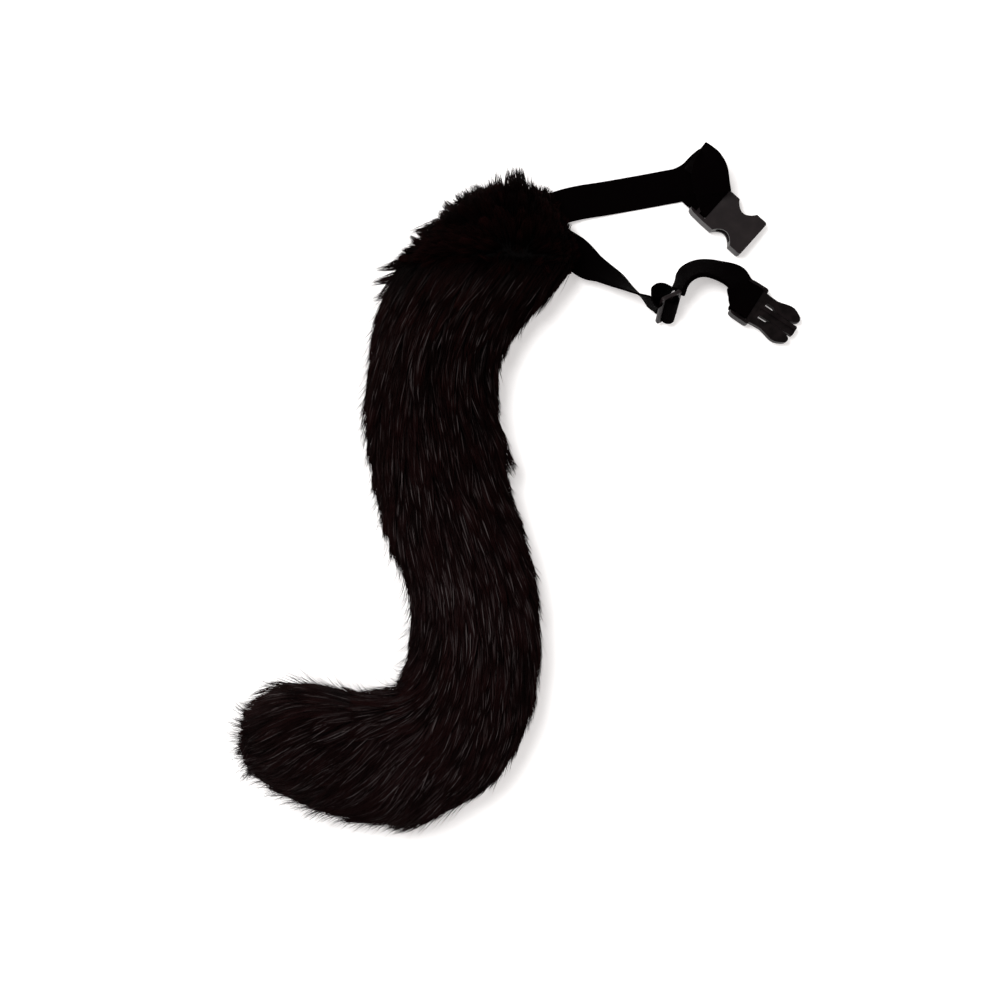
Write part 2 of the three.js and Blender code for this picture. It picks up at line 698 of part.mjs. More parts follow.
function buckleSocket() {
  const half = buckleWidth / 2;
  const waistStart = socketLength * 0.46;
  const waistEnd = socketLength * 0.8;
  const waistDeep = half * 0.4;
  const side = [[0, half - 4], [1.2, half - 1.4], [4, half - 0.4], [slotEnd, half], [waistStart, half]];
  const steps = 8;
  for (let i = 1; i < steps; i += 1) {
    const x = waistStart + ((waistEnd - waistStart) * i) / steps;
    side.push([x, half - waistDeep * Math.sin((Math.PI * i) / steps) ** 0.8]);
  }
  side.push([waistEnd, half], [socketLength - 1.5, half], [socketLength, half - 1.5]);
  let solid = solidOf(plate(mirroredOutline(side), buckle.thick, 0.8));
  solid = slotAndBar(solid, buckle.thick);
  const room = buckle.thick / 2 - buckle.plate;
  const wall = 3;
  const cavity = boxSolid(slotEnd + wall, socketLength + 1, buckleWidth - 2 * wall, -room, room);
  return geometryOf(solid.subtract(cavity));
}

function buckleProng(side) {
  const start = plugBody - 1;
  const reach = plugBody + plugReach;
  const half = buckleWidth / 2;
  const outer = [
    [start, half * 0.84],
    [plugBody + plugReach * 0.3, half * 0.78],
    [plugBody + plugReach * 0.55, half * 0.92],
    [plugBody + plugReach * 0.7, half * 0.94],
    [plugBody + plugReach * 0.88, half * 0.8],
    [reach - 1.2, half * 0.62],
  ];
  const inner = [
    [reach - 1.5, half * 0.44],
    [plugBody + plugReach * 0.8, half * 0.47],
    [plugBody + plugReach * 0.5, half * 0.43],
    [start, half * 0.52],
  ];
  const points = [...outer, ...inner].map(([x, y]) => new THREE.Vector2(x, y * side));
  return solidOf(plate(new THREE.Shape(points), buckle.thick * 0.5, 0.6));
}

function bucklePlug() {
  const half = buckleWidth / 2;
  const thick = buckle.thick * 0.86;
  const body = [[0, half - 3], [1.5, half - 0.8], [4, half - 0.2]];
  body.push([plugBody - 2, half], [plugBody, half - 1.6]);
  let solid = solidOf(plate(mirroredOutline(body), thick, 0.8));
  solid = slotAndBar(solid, thick);
  const step = thick * 0.36;
  solid = solid.subtract(boxSolid(slotEnd - 1, plugBody + 1, slotWidth, step, thick));
  const guide = [[plugBody - 1, 4.1], [plugBody + plugReach - 0.6, 4.1], [plugBody + plugReach, 3.4]];
  solid = solid.add(solidOf(plate(mirroredOutline(guide), buckle.thick * 0.42, 0.5)));
  const groove = boxSolid(plugBody + 2, plugBody + plugReach + 1, 1.8, buckle.thick * 0.1, buckle.thick);
  solid = solid.subtract(groove);
  for (const side of [-1, 1]) {
    solid = solid.add(buckleProng(side));
  }
  return geometryOf(solid);
}

function triGlide() {
  const across = slider.bar * 3 + slider.slot * 2;
  const long = slotWidth + 2 * slider.end;
  const rounded = 2;
  const outline = new THREE.Shape();
  outline.moveTo(-across / 2 + rounded, -long / 2);
  outline.lineTo(across / 2 - rounded, -long / 2);
  outline.quadraticCurveTo(across / 2, -long / 2, across / 2, -long / 2 + rounded);
  outline.lineTo(across / 2, long / 2 - rounded);
  outline.quadraticCurveTo(across / 2, long / 2, across / 2 - rounded, long / 2);
  outline.lineTo(-across / 2 + rounded, long / 2);
  outline.quadraticCurveTo(-across / 2, long / 2, -across / 2, long / 2 - rounded);
  outline.lineTo(-across / 2, -long / 2 + rounded);
  outline.quadraticCurveTo(-across / 2, -long / 2, -across / 2 + rounded, -long / 2);
  let solid = solidOf(plate(outline, slider.thick, 0.6));
  for (const side of [-1, 1]) {
    const middle = side * (slider.bar + slider.slot) / 2;
    const cut = boxSolid(middle - slider.slot / 2, middle + slider.slot / 2, slotWidth, -4, 4);
    solid = solid.subtract(cut);
  }
  return geometryOf(solid);
}

function named(name, geometry, color, roughness) {
  const material = new THREE.MeshStandardMaterial({ color, roughness, metalness: 0 });
  const mesh = new THREE.Mesh(geometry, material);
  mesh.name = name;
  return mesh;
}

function framed(mesh, frame) {
  mesh.applyMatrix4(frame);
  return mesh;
}

const tail = new THREE.Group();
tail.add(named("tail_fur", tailFur(), black.fur, 0.9));
tail.add(named("base_fur", baseFur(), black.cap, 0.95));
tail.add(named("belt_sleeve", beltSleeve(), black.sleeve, 0.9));
tail.add(named("belt_webbing", belt(), black.webbing, 0.8));
tail.add(framed(named("slider", triGlide(), black.plastic, 0.45), sliderFrame));
tail.add(framed(named("buckle_socket", buckleSocket(), black.plastic, 0.45), socketFrame));
tail.add(framed(named("buckle_plug", bucklePlug(), black.plastic, 0.45), plugFrame));

tail.updateMatrixWorld(true);
const whole = new THREE.Box3().setFromObject(tail, true);
const centre = whole.getCenter(new THREE.Vector3());
tail.position.set(-centre.x, -centre.y, -whole.min.z);

export default tail;
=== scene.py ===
import math

import bmesh
import bpy
import numpy as np
from mathutils import Matrix, Vector, kdtree


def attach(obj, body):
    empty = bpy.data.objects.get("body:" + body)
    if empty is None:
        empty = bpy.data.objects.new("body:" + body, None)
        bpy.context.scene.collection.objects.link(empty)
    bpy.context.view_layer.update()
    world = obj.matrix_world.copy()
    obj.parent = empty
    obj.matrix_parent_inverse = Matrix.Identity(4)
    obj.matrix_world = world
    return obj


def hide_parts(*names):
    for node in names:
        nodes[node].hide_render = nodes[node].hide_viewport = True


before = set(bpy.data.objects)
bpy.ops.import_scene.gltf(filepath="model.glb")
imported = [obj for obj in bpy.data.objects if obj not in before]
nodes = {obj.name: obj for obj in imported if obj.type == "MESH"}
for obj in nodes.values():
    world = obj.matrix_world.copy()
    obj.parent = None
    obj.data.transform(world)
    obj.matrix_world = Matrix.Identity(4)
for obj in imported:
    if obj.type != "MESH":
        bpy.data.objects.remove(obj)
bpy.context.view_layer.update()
scene = bpy.context.scene
partShift = np.array([0.03708, 0.18708, 0.0])  # from the tail's root to the middle of the part's box, metres

view = {
    "cameraAt": (-0.04851, -0.19331, 1.4),  # from the tail's root
    "lens": 69.26,
    "floorColour": (0.86, 0.85, 0.845, 1),
    "floorGlow": 0.3,
    "skyColour": (1.0, 0.985, 0.975, 1),
    "skyStrength": 0.58,
    "keyPlace": (-0.62, 0.5, 2.0),
    "keySize": 0.9,
    "keyPower": 40,
    "fillPlace": (1.2, -0.9, 1.6),
    "fillSize": 1.8,
    "fillPower": 9,
}


def makeCamera():
    data = bpy.data.cameras.new("photoCamera")
    data.lens = view["lens"]
    data.sensor_width = 36
    data.clip_start = 0.01
    camera = bpy.data.objects.new("photoCamera", data)
    camera.location = Vector(view["cameraAt"]) + Vector(partShift)
    scene.collection.objects.link(camera)
    scene.camera = camera


def makeAreaLight(name, place, size, power):
    data = bpy.data.lights.new(name, "AREA")
    data.shape = "DISK"
    data.size = size
    data.energy = power
    light = bpy.data.objects.new(name, data)
    light.location = place
    aim = Vector((-0.02, 0.0, 0.0)) - Vector(place)
    light.rotation_euler = aim.to_track_quat("-Z", "Y").to_euler()
    scene.collection.objects.link(light)


def makeFloor():
    mesh = bpy.data.meshes.new("paleFloor")
    reach = 6.0
    corners = [(-reach, -reach, 0), (reach, -reach, 0), (reach, reach, 0), (-reach, reach, 0)]
    mesh.from_pydata(corners, [], [(0, 1, 2, 3)])
    floor = bpy.data.objects.new("paleFloor", mesh)
    scene.collection.objects.link(floor)
    material, shader = newMaterial("palePaper")
    shader.inputs["Base Color"].default_value = view["floorColour"]
    shader.inputs["Roughness"].default_value = 0.9
    shader.inputs["Specular IOR Level"].default_value = 0.1
    shader.inputs["Emission Color"].default_value = (1.0, 0.955, 0.945, 1)
    shader.inputs["Emission Strength"].default_value = view["floorGlow"]
    mesh.materials.append(material)


def makeSky():
    world = bpy.data.worlds.new("studioSky")
    world.use_nodes = True
    back = world.node_tree.nodes["Background"]
    back.inputs["Color"].default_value = view["skyColour"]
    back.inputs["Strength"].default_value = view["skyStrength"]
    scene.world = world


def newMaterial(name):
    material = bpy.data.materials.new(name)
    material.use_nodes = True
    return material, material.node_tree.nodes["Principled BSDF"]


def addNode(tree, kind, place=(0, 0), **settings):
    node = tree.nodes.new(kind)
    node.location = place
    for key, value in settings.items():
        setattr(node, key, value)
    return node


def setInputs(node, **values):
    for key, value in values.items():
        node.inputs[key].default_value = value
    return node


def mixColour(tree, factor, first, second, place=(0, 0), blend="MIX"):
    node = addNode(tree, "ShaderNodeMix", place, data_type="RGBA", blend_type=blend)
    for socket, source in ((0, factor), (6, first), (7, second)):
        if hasattr(source, "links"):
            tree.links.new(source, node.inputs[socket])
        else:
            node.inputs[socket].default_value = source
    return node.outputs[2]


def mathNode(tree, operation, first, second=None, place=(0, 0), clamp=False):
    node = addNode(tree, "ShaderNodeMath", place, operation=operation, use_clamp=clamp)
    for socket, source in enumerate((first, second)):
        if source is None:
            continue
        if hasattr(source, "links"):
            tree.links.new(source, node.inputs[socket])
        else:
            node.inputs[socket].default_value = source
    return node.outputs[0]


def scaleAndAdd(tree, value, scale, offset, place, clamp=False):
    result = mathNode(tree, "MULTIPLY_ADD", value, scale, place, clamp)
    result.node.inputs[2].default_value = offset
    return result


def linkBump(tree, height, shader, strength, distance):
    bump = setInputs(addNode(tree, "ShaderNodeBump", (-300, -200)), Strength=strength, Distance=distance)
    tree.links.new(height, bump.inputs["Height"])
    tree.links.new(bump.outputs["Normal"], shader.inputs["Normal"])


def newGroup(name, inputs, outputs):
    group = bpy.data.node_groups.new(name, "ShaderNodeTree")
    for label, kind, value in inputs:
        socket = group.interface.new_socket(label, in_out="INPUT", socket_type=kind)
        socket.default_value = value
    for label, kind in outputs:
        group.interface.new_socket(label, in_out="OUTPUT", socket_type=kind)
    start = addNode(group, "NodeGroupInput", (-900, 0))
    end = addNode(group, "NodeGroupOutput", (700, 0))
    return group, start, end


def placeGroup(tree, group, place=(-300, 0), **values):
    node = addNode(tree, "ShaderNodeGroup", place, node_tree=group)
    for key, value in values.items():
        node.inputs[key].default_value = value
    return node


tail = {
    "length": 0.6,
    "furHeight": 0.072,
    "pileDepth": 0.009,
    "mouthShare": 0.6,  # how much thinner the pile is at the belt's side of the cap
    "bellyShare": 0.42,
    "bellyLift": 0.0022,
    "rootHeading": (-0.0995, 0.995, 0),  # the way each end of the core faces
    "tipHeading": (-0.989, -0.148, 0),
}

# Outline of the fur from above as shares of the length: left x, left y, right x, right y, height.
capRows = [
    (-0.076, 0.046, -0.024, 0.045, 0.4),
    (-0.116, 0.036, -0.008, 0.034, 0.64),
    (-0.148, 0.016, 0.006, 0.012, 0.8),
    (-0.175, -0.016, 0.017, -0.016, 0.88),
    (-0.205, -0.046, 0.0165, -0.046, 0.93),
]
tailRows = [
    (-0.206, -0.046, 0.016, -0.046, 0.93),
    (-0.222, -0.086, -0.015, -0.082, 1),
    (-0.232, -0.125, -0.049, -0.122, 1),
    (-0.237, -0.172, -0.0715, -0.163, 1),
    (-0.239, -0.22, -0.076, -0.214, 1),
    (-0.236, -0.268, -0.067, -0.262, 1),
    (-0.227, -0.322, -0.058, -0.313, 1),
    (-0.217, -0.37, -0.042, -0.362, 1),
    (-0.201, -0.418, -0.031, -0.412, 1),
    (-0.188, -0.462, -0.026, -0.462, 1),
    (-0.183, -0.502, -0.026, -0.526, 1),
    (-0.191, -0.538, -0.039, -0.61, 1),
    (-0.213, -0.553, -0.081, -0.678, 1),
    (-0.249, -0.553, -0.147, -0.709, 1),
    (-0.285, -0.547, -0.213, -0.721, 0.98),
    (-0.321, -0.545, -0.285, -0.712, 0.94),
    (-0.354, -0.557, -0.336, -0.691, 0.84),
    (-0.379, -0.578, -0.37, -0.664, 0.68),
    (-0.391, -0.602, -0.387, -0.64, 0.5),
]


def rowsAt(rows, places):
    # a smooth curve through the table's rows, and straight on past its ends
    rows = np.asarray(rows, float)
    last = len(rows) - 1
    inside = np.clip(places, 0, last)
    row = np.minimum(inside.astype(int), last - 1)
    t = (inside - row)[:, None]
    before, here, after, beyond = (rows[np.clip(row + i, 0, last)] for i in (-1, 0, 1, 2))
    slopeHere, slopeAfter = (after - before) / 2, (beyond - here) / 2
    curve = (2 * here - 2 * after + slopeHere + slopeAfter) * t**3
    curve += (3 * after - 3 * here - 2 * slopeHere - slopeAfter) * t**2 + slopeHere * t + here
    endSlope = np.where((places > last)[:, None], rows[-1] - rows[-2], rows[1] - rows[0])
    return curve + endSlope * (places - inside)[:, None]


def coreAxis(rows, places):
    # the way the tail's middle line runs
    ahead, _, _ = sectionAt(rows, places + 0.2)
    behind, _, _ = sectionAt(rows, places - 0.2)
    return ahead - behind


def sectionAt(rows, places):
    values = rowsAt(rows, places)
    left = np.column_stack([values[:, :2] * tail["length"], np.zeros(len(values))])
    right = np.column_stack([values[:, 2:4] * tail["length"], np.zeros(len(values))])
    half = (right - left) / 2
    reach = np.maximum(np.linalg.norm(half, axis=1), 1e-4)
    onCap = rows is capRows
    depth = tail["pileDepth"] * (1 + 1.35 * np.clip(1 - places / 3.6, 0, 1) if onCap else 1)
    inset = np.minimum(depth, reach * 0.6)
    mouthShare = np.ones(len(values)) if onCap else np.clip(1 - places / 1.5, 0, 1)
    rightInset = inset * (1 - mouthShare * tail["mouthShare"])
    way = half / reach[:, None]
    middle = (left + right) / 2 + partShift + way * ((inset - rightInset) / 2)[:, None]
    height = np.maximum(values[:, 4], 0.2) * tail["furHeight"] - inset * 0.6
    half = way * (reach - (inset + rightInset) / 2)[:, None]
    return middle, half, height


def corePoint(rows, places, angles):
    middle, half, height = sectionAt(rows, places)
    lift = np.sin(angles)
    belly = tail["bellyShare"]
    swell = np.where(lift > 0, 1 - belly, belly + 0.1)
    point = middle + half * np.cos(angles)[:, None]
    point[:, 2] = np.maximum(tail["bellyLift"], height * (belly + swell * lift))
    return point


def unit(vectors):
    return vectors / np.maximum(np.linalg.norm(vectors, axis=-1, keepdims=True), 1e-12)


def coreFrame(rows, places, angles):
    # the place on the core, the way the tail runs there, the outward normal, and metres per row
    here = corePoint(rows, places, angles)
    run = (corePoint(rows, places + 0.15, angles) - corePoint(rows, places - 0.15, angles)) / 0.3
    aside = corePoint(rows, places, angles + 0.05) - corePoint(rows, places, angles - 0.05)
    middle, _, height = sectionAt(rows, places)
    outward = here - middle - np.array([0, 0, 0.3]) * height[:, None]
    normal = unit(np.cross(aside, run))
    normal *= np.where((normal * outward).sum(1) < 0, -1, 1)[:, None]
    flat = np.linalg.norm(aside, axis=1) / 0.1
    return here, unit(run), normal, np.linalg.norm(run, axis=1), flat


def meshFrom(name, points, faces):
    mesh = bpy.data.meshes.new(name)
    mesh.from_pydata([tuple(p) for p in points], [], faces)
    mesh.validate()
    for polygon in mesh.polygons:
        polygon.use_smooth = True
    piece = bpy.data.objects.new(name, mesh)
    scene.collection.objects.link(piece)
    return piece


def skinOver(rings):
    # closed faces over a row of equal rings, with a fan on each end
    count = len(rings[0])
    points = [p for ring in rings for p in ring]
    faces = []
    for ring in range(len(rings) - 1):
        for i in range(count):
            a, b = ring * count + i, ring * count + (i + 1) % count
            faces.append((a, b, b + count, a + count))
    for ring, forward in ((0, False), (len(rings) - 1, True)):
        points.append(np.mean(rings[ring], axis=0))
        for i in range(count):
            a, b = ring * count + i, ring * count + (i + 1) % count
            faces.append((a, b, len(points) - 1) if forward else (b, a, len(points) - 1))
    return points, faces


def coreRings(rows, fromRow, toRow, perRow, sides):
    steps = int((toRow - fromRow) * perRow + 0.5)
    angles = np.linspace(0, 2 * math.pi, sides, endpoint=False)
    places = [fromRow + (toRow - fromRow) * i / steps for i in range(steps + 1)]
    return [corePoint(rows, np.full(sides, place), angles) for place in places]


def roundedEnd(ring, towards, reach, shrink):
    middle = ring.mean(axis=0)
    moved = middle + (ring - middle) * shrink + np.array(towards) * reach
    moved[:, 2] = ring[:, 2] * (0.25 + 0.75 * shrink)
    return moved


def makeCore(name, rings):
    points, faces = skinOver(rings)
    core = meshFrom(name, points, faces)
    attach(core, "root")
    return core


def strandMesh(name, paths, radii, tones, sides=3):
    # closed pointed strands: paths is strands x points x 3, the last point being the tip
    count, steps = paths.shape[:2]
    rings = steps - 1
    ahead = np.diff(paths, axis=1)
    travel = unit(np.concatenate([ahead[:, :1], ahead[:, 1:] + ahead[:, :-1]], axis=1))[:, :rings]
    side = unit(np.cross(travel, np.array([0.31, 0.17, 0.93])))
    over = np.cross(travel, side)
    turns = np.arange(sides) * 2 * math.pi / sides
    spread = np.cos(turns)[None, None, :, None] * side[:, :, None]
    spread = spread + np.sin(turns)[None, None, :, None] * over[:, :, None]
    ringPoints = paths[:, :rings, None] + spread * radii[:, :rings, None, None]
    perStrand = rings * sides + 1
    points = np.concatenate([ringPoints.reshape(count, -1, 3), paths[:, -1:]], axis=1).reshape(-1, 3)
    loops = list(range(sides))[::-1]
    sizes = [sides]
    for ring in range(rings - 1):
        for i in range(sides):
            a, b = ring * sides + i, ring * sides + (i + 1) % sides
            loops += [a, b, b + sides, a + sides]
            sizes.append(4)
    for i in range(sides):
        a, b = (rings - 1) * sides + i, (rings - 1) * sides + (i + 1) % sides
        loops += [a, b, rings * sides]
        sizes.append(3)
    starts = np.concatenate([[0], np.cumsum(sizes)[:-1]])
    loops = np.array(loops)
    allLoops = (loops[None] + np.arange(count)[:, None] * perStrand).ravel()
    allStarts = (starts[None] + np.arange(count)[:, None] * len(loops)).ravel()
    mesh = bpy.data.meshes.new(name)
    mesh.vertices.add(len(points))
    mesh.vertices.foreach_set("co", points.astype(np.float32).ravel())
    mesh.loops.add(len(allLoops))
    mesh.loops.foreach_set("vertex_index", allLoops.astype(np.int32))
    mesh.polygons.add(len(allStarts))
    mesh.polygons.foreach_set("loop_start", allStarts.astype(np.int32))
    mesh.polygons.foreach_set("use_smooth", np.ones(len(allStarts), bool))
    mesh.update(calc_edges=True)
    shares = np.linspace(0, 1, steps)
    along = np.concatenate([np.repeat(shares[:-1], sides), [1.0]])
    writeAttribute(mesh, "strandAlong", np.tile(along, count))
    for label, values in tones.items():
        writeAttribute(mesh, label, np.repeat(values, perStrand))
    piece = bpy.data.objects.new(name, mesh)
    scene.collection.objects.link(piece)
    return piece


def writeAttribute(mesh, label, values):
    attribute = mesh.attributes.new(label, "FLOAT", "POINT")
    attribute.data.foreach_set("value", np.asarray(values, np.float32))


pile = {
    "seed": 31,
    "strandsOnTail": 44000,
    "strandsOnCap": 10400,
    "strandsOnTip": 1500,
    "length": 0.032,
    "lengthVary": 0.3,
    "radius": 0.00026,
    "rootDepth": 0.0012,  # how deep a strand's root is sunk into the core
    "flare": 0.0012,
    "clumpFlare": 0.0046,  # how much further out some clumps stand than others
    "wildness": 0.0014,
    "clumpSize": 34,  # strands in one clump
    "clumpPull": 0.6,
    "bellyShare": 0.3,  # strands under the tail, against those on top
    # painted highlights: these strands carry a grey glint in their base colour, and are thickened and lifted
    # to lie on top
    "glintStreakShare": 0.02,
    "glintStreakThick": 2.1,
    "glintStreakLift": 0.001,
    "glintStreakStart": -0.03,  # no painted highlight strands above this y, from the tail's root
    "guardShare": 0.085,  # thin long hairs that stand off the rest
    "guardLength": 0.026,
    "guardLift": 0.0125,
    "guardThick": 0.72,
    "fanReach": 0.0046,  # how far strands pass the end of the core
    "tipRow": 16.8,  # where the core of the tail ends, and its cap starts
    "tipLength": 0.0085,
    "capTopRow": 0.8,
    "capLength": 0.007,
    "capRise": 0.0042,
    "capCentre": (-0.035, -0.02),  # where the cap's fur parts, from the tail's root
    "tuftHeight": 31.0,  # millimetres
    "tuftWidth": 0.0105,
    "tuftDepth": 0.015,
    "tuftBow": 0.003,
    "tuftThick": 1.15,
    "underColour": (0.001, 0.0006, 0.0006, 1),
}
strandShares = np.array([0.0, 0.34, 0.7, 1.0])

# How far the pile stands out from the core: row of the tail, left and right side in millimetres.
riseRows = [
    (0, 3.6, 5.4), (1.5, 4.2, 6.0), (3, 7.4, 7.2), (4.5, 5.4, 5.8), (6, 5.0, 3.4), (7.5, 0.1, 6.4),
    (9, 7.8, 7.2), (10, 10.6, 4.8), (11, 5.4, 2.6), (12, 0.1, 2.2), (12.5, 0.6, 8.2), (13, 2.4, 9.0),
    (13.5, 5.6, 3.8), (14, 8.4, 0.8), (15, 9.0, 0.1), (16, 0.4, 0.1), (17, 0.1, 0.3), (18, 0.1, 0.3),
]

# Spikes of fur that stand out: root x, y, tip x, y in millimetres from the tail's root, strands.
tufts = [
    (-37.8, 22.0, -40.2, 42.0, 46),
    (-33.0, 24.0, -34.6, 44.0, 56),
    (-29.4, 24.0, -29.6, 43.6, 56),
    (-24.0, 23.0, -23.2, 33.0, 20),
    (-44.9, 21.0, -47.8, 39.8, 40),
    (-50.5, 19.0, -54.6, 34.0, 30),
    (-56.4, 15.0, -62.2, 31.2, 40),
    (-65.0, 12.0, -72.2, 28.4, 40),
    (-73.6, 5.0, -83.7, 16.8, 40),
    (-78.0, 1.0, -90.5, 11.5, 30),
    (-82.9, -2.4, -95.0, 4.4, 36),
    (-88.0, 0.5, -110.5, -5.0, 40),
    (-90.8, -5.3, -104.5, -9.5, 26),
    (-99.0, -18.0, -113.0, -25.0, 22),
    (-103.8, -26.0, -135.8, -32.2, 84),
    (-108.1, -33.7, -138.0, -41.8, 84),
    (-112.0, -44.0, -137.5, -53.0, 50),
    (-47.1, -155.5, -32.0, -174.7, 50),
    (-49.2, -144.7, -37.0, -162.5, 44),
    (-43.5, -163.0, -33.5, -181.0, 34),
]


def spreadRoots(rng, rows, fromRow, toRow, count):
    # roots spread evenly over the core's skin, fewer of them on the belly
    places = fromRow + (toRow - fromRow) * rng.random(count * 8)
    angles = rng.random(count * 8) * 2 * math.pi
    _, _, normal, perRow, flat = coreFrame(rows, places, angles)
    weight = perRow * flat
    weight *= np.where(normal[:, 2] < -0.3, pile["bellyShare"], 1)
    weight /= np.quantile(weight, 0.98)
    kept = np.flatnonzero(rng.random(len(places)) < weight)[:count]
    return places[kept], angles[kept]


def clumpTogether(rng, roots, paths, free):
    # neighbours lean towards one strand among them, more so near their tips
    guides = rng.choice(len(roots), max(1, len(roots) // pile["clumpSize"]), replace=False)
    tree = kdtree.KDTree(len(guides))
    for i, guide in enumerate(guides):
        tree.insert(Vector(roots[guide]), i)
    tree.balance()
    nearest = guides[[tree.find(Vector(root))[1] for root in roots]]
    strength = pile["clumpPull"] * (0.6 + 0.8 * rng.random(len(guides)))
    lookup = np.zeros(len(roots))
    lookup[guides] = strength
    amount = lookup[nearest][:, None] * (strandShares[None] ** 1.3)
    amount *= np.where(free | free[nearest], 0.1, 1)[:, None]
    towards = paths[nearest] - paths
    return paths + towards * np.clip(amount, 0, 0.92)[:, :, None], nearest


def flareOf(normal):
    # clumps stand out sideways, and hardly at all on top
    return normal * (1 - 0.8 * np.abs(normal[:, 2]))[:, None]


def tailPaths(rng, fromRow, toRow, count):
    places, angles = spreadRoots(rng, tailRows, fromRow, toRow, count)
    count = len(places)
    here, _, normal, perRow, _ = coreFrame(tailRows, places, angles)
    guard = rng.random(count) < pile["guardShare"] * (1 + 0.6 * np.clip((places - 11) / 3, 0, 1))
    leftness = (1 - np.cos(angles)) / 2
    end = pile["tipRow"]
    lag = np.clip((places - 10.2) / 2, 0, 1) * np.clip((17.6 - places) / 2, 0, 1)
    nearTip = np.clip((places - 11) / 3, 0, 1)
    length = pile["length"] * (1 + pile["lengthVary"] * (rng.random(count) - 0.5) * 2)
    length *= np.where(normal[:, 2] < -0.3, 0.7, 1)
    length = np.where(guard, pile["guardLength"] * (0.8 + 0.4 * rng.random(count)), length)
    riseTable = np.array(riseRows) / np.array([1, 1000, 1000])
    rise = np.interp(places, riseTable[:, 0], riseTable[:, 1]) * leftness
    rise += np.interp(places, riseTable[:, 0], riseTable[:, 2]) * (1 - leftness)
    rise *= 0.7 + 0.5 * rng.random(count)
    side = 0.35 + 0.65 * np.maximum(leftness**2, nearTip)
    guardFlare = pile["guardLift"] * (0.35 + 0.9 * rng.random(count)) * side
    flare = np.where(guard, guardFlare, pile["flare"] * side)
    # on the lower bend the strands on top turn towards the right side
    drift = (rng.random(count) - 0.5) * 0.12 - 0.5 * lag * np.maximum(np.sin(angles), 0)
    wild = (rng.random((count, 3)) - 0.5) * 2 * pile["wildness"]
    wild *= np.where(guard, 2.2, 1)[:, None]
    tipRun = unit(coreAxis(tailRows, np.full(count, end)))
    fan = unit(tipRun + 0.5 * normal * (0.4 + 0.8 * rng.random(count))[:, None])
    fanReach = pile["fanReach"] * (0.45 + 0.9 * rng.random(count)) * np.where(guard, 1.7, 1)
    paths = np.zeros((count, len(strandShares), 3))
    for k, share in enumerate(strandShares):
        ahead = places + share * length / perRow
        over = np.maximum(ahead - end, 0) * perRow
        past = fanReach * (1 - np.exp(-over / fanReach))
        point, _, lean, _, _ = coreFrame(tailRows, np.minimum(ahead, end), angles + drift * share)
        lift = rise * (1 - (1 - share) ** 1.7) + flare * share**2.4 - pile["rootDepth"] * (share == 0)
        paths[:, k] = point + lean * lift[:, None] + fan * past[:, None] + wild * share
    return here, paths, flareOf(normal), guard


def tipPaths(rng, count):
    # the blunt end of the tail: strands rooted over its last section, pointing on and outwards
    end = np.full(count, pile["tipRow"])
    angles = rng.random(count) * 2 * math.pi
    rim = corePoint(tailRows, end, angles)
    middle = rim.mean(axis=0)
    spread = np.sqrt(rng.random(count))[:, None]
    roots = middle + (rim - middle) * spread * 0.95
    run = unit(coreAxis(tailRows, end))
    outwards = unit(rim - middle)
    heading = unit(run + outwards * spread * 0.4 + (rng.random((count, 3)) - 0.5) * 0.25)
    guard = rng.random(count) < pile["guardShare"] * 1.5
    length = pile["tipLength"] * (0.7 + 0.5 * rng.random(count)) * np.where(guard, 1.7, 1)
    length *= (1.7 - 1.1 * spread**2)[:, 0]
    paths = roots[:, None] + heading[:, None] * (strandShares[None, :, None] * length[:, None, None])
    paths[:, 0] -= run * 0.003
    return roots, paths, heading * 0.2, guard


def capPaths(rng, count):
    places, angles = spreadRoots(rng, capRows, pile["capTopRow"], 4.0, count)
    count = len(places)
    here, _, normal, _, _ = coreFrame(capRows, places, angles)
    guard = rng.random(count) < pile["guardShare"]
    away = here[:, :2] - partShift[:2] - np.array(pile["capCentre"])
    away[:, 0] *= np.where(away[:, 0] > 0, 0.25, 1)
    away[:, 1] = np.where(away[:, 1] < -0.004, away[:, 1] - 0.02, away[:, 1] + 0.006)
    heading = unit(np.column_stack([away, np.zeros(count)]))
    heading = unit(heading + (rng.random((count, 3)) - 0.5) * 0.45)
    outline = 1 - np.abs(normal[:, 2])
    flow = unit(heading - normal * (heading * normal).sum(1)[:, None] * (0.95 - 0.55 * outline)[:, None])
    length = pile["capLength"] * (1 + 0.35 * (rng.random(count) - 0.5) * 2)
    length *= np.where(outline < 0.35, 2.0, 1) * np.where(guard, 1.5, 1)
    mouth = np.clip((here[:, 0] - partShift[0] + 0.022) / 0.02, 0, 1)
    length *= 1 - 0.55 * mouth
    rise = pile["capRise"] * (0.6 + 0.6 * rng.random(count)) * (1 - 0.6 * mouth)
    paths = np.zeros((count, len(strandShares), 3))
    for k, share in enumerate(strandShares):
        lift = rise * (1 - (1 - share) ** 1.7) - pile["rootDepth"] * (share == 0)
        paths[:, k] = here + flow * (share * length)[:, None] + normal * lift[:, None]
    return here, paths, flareOf(normal), guard


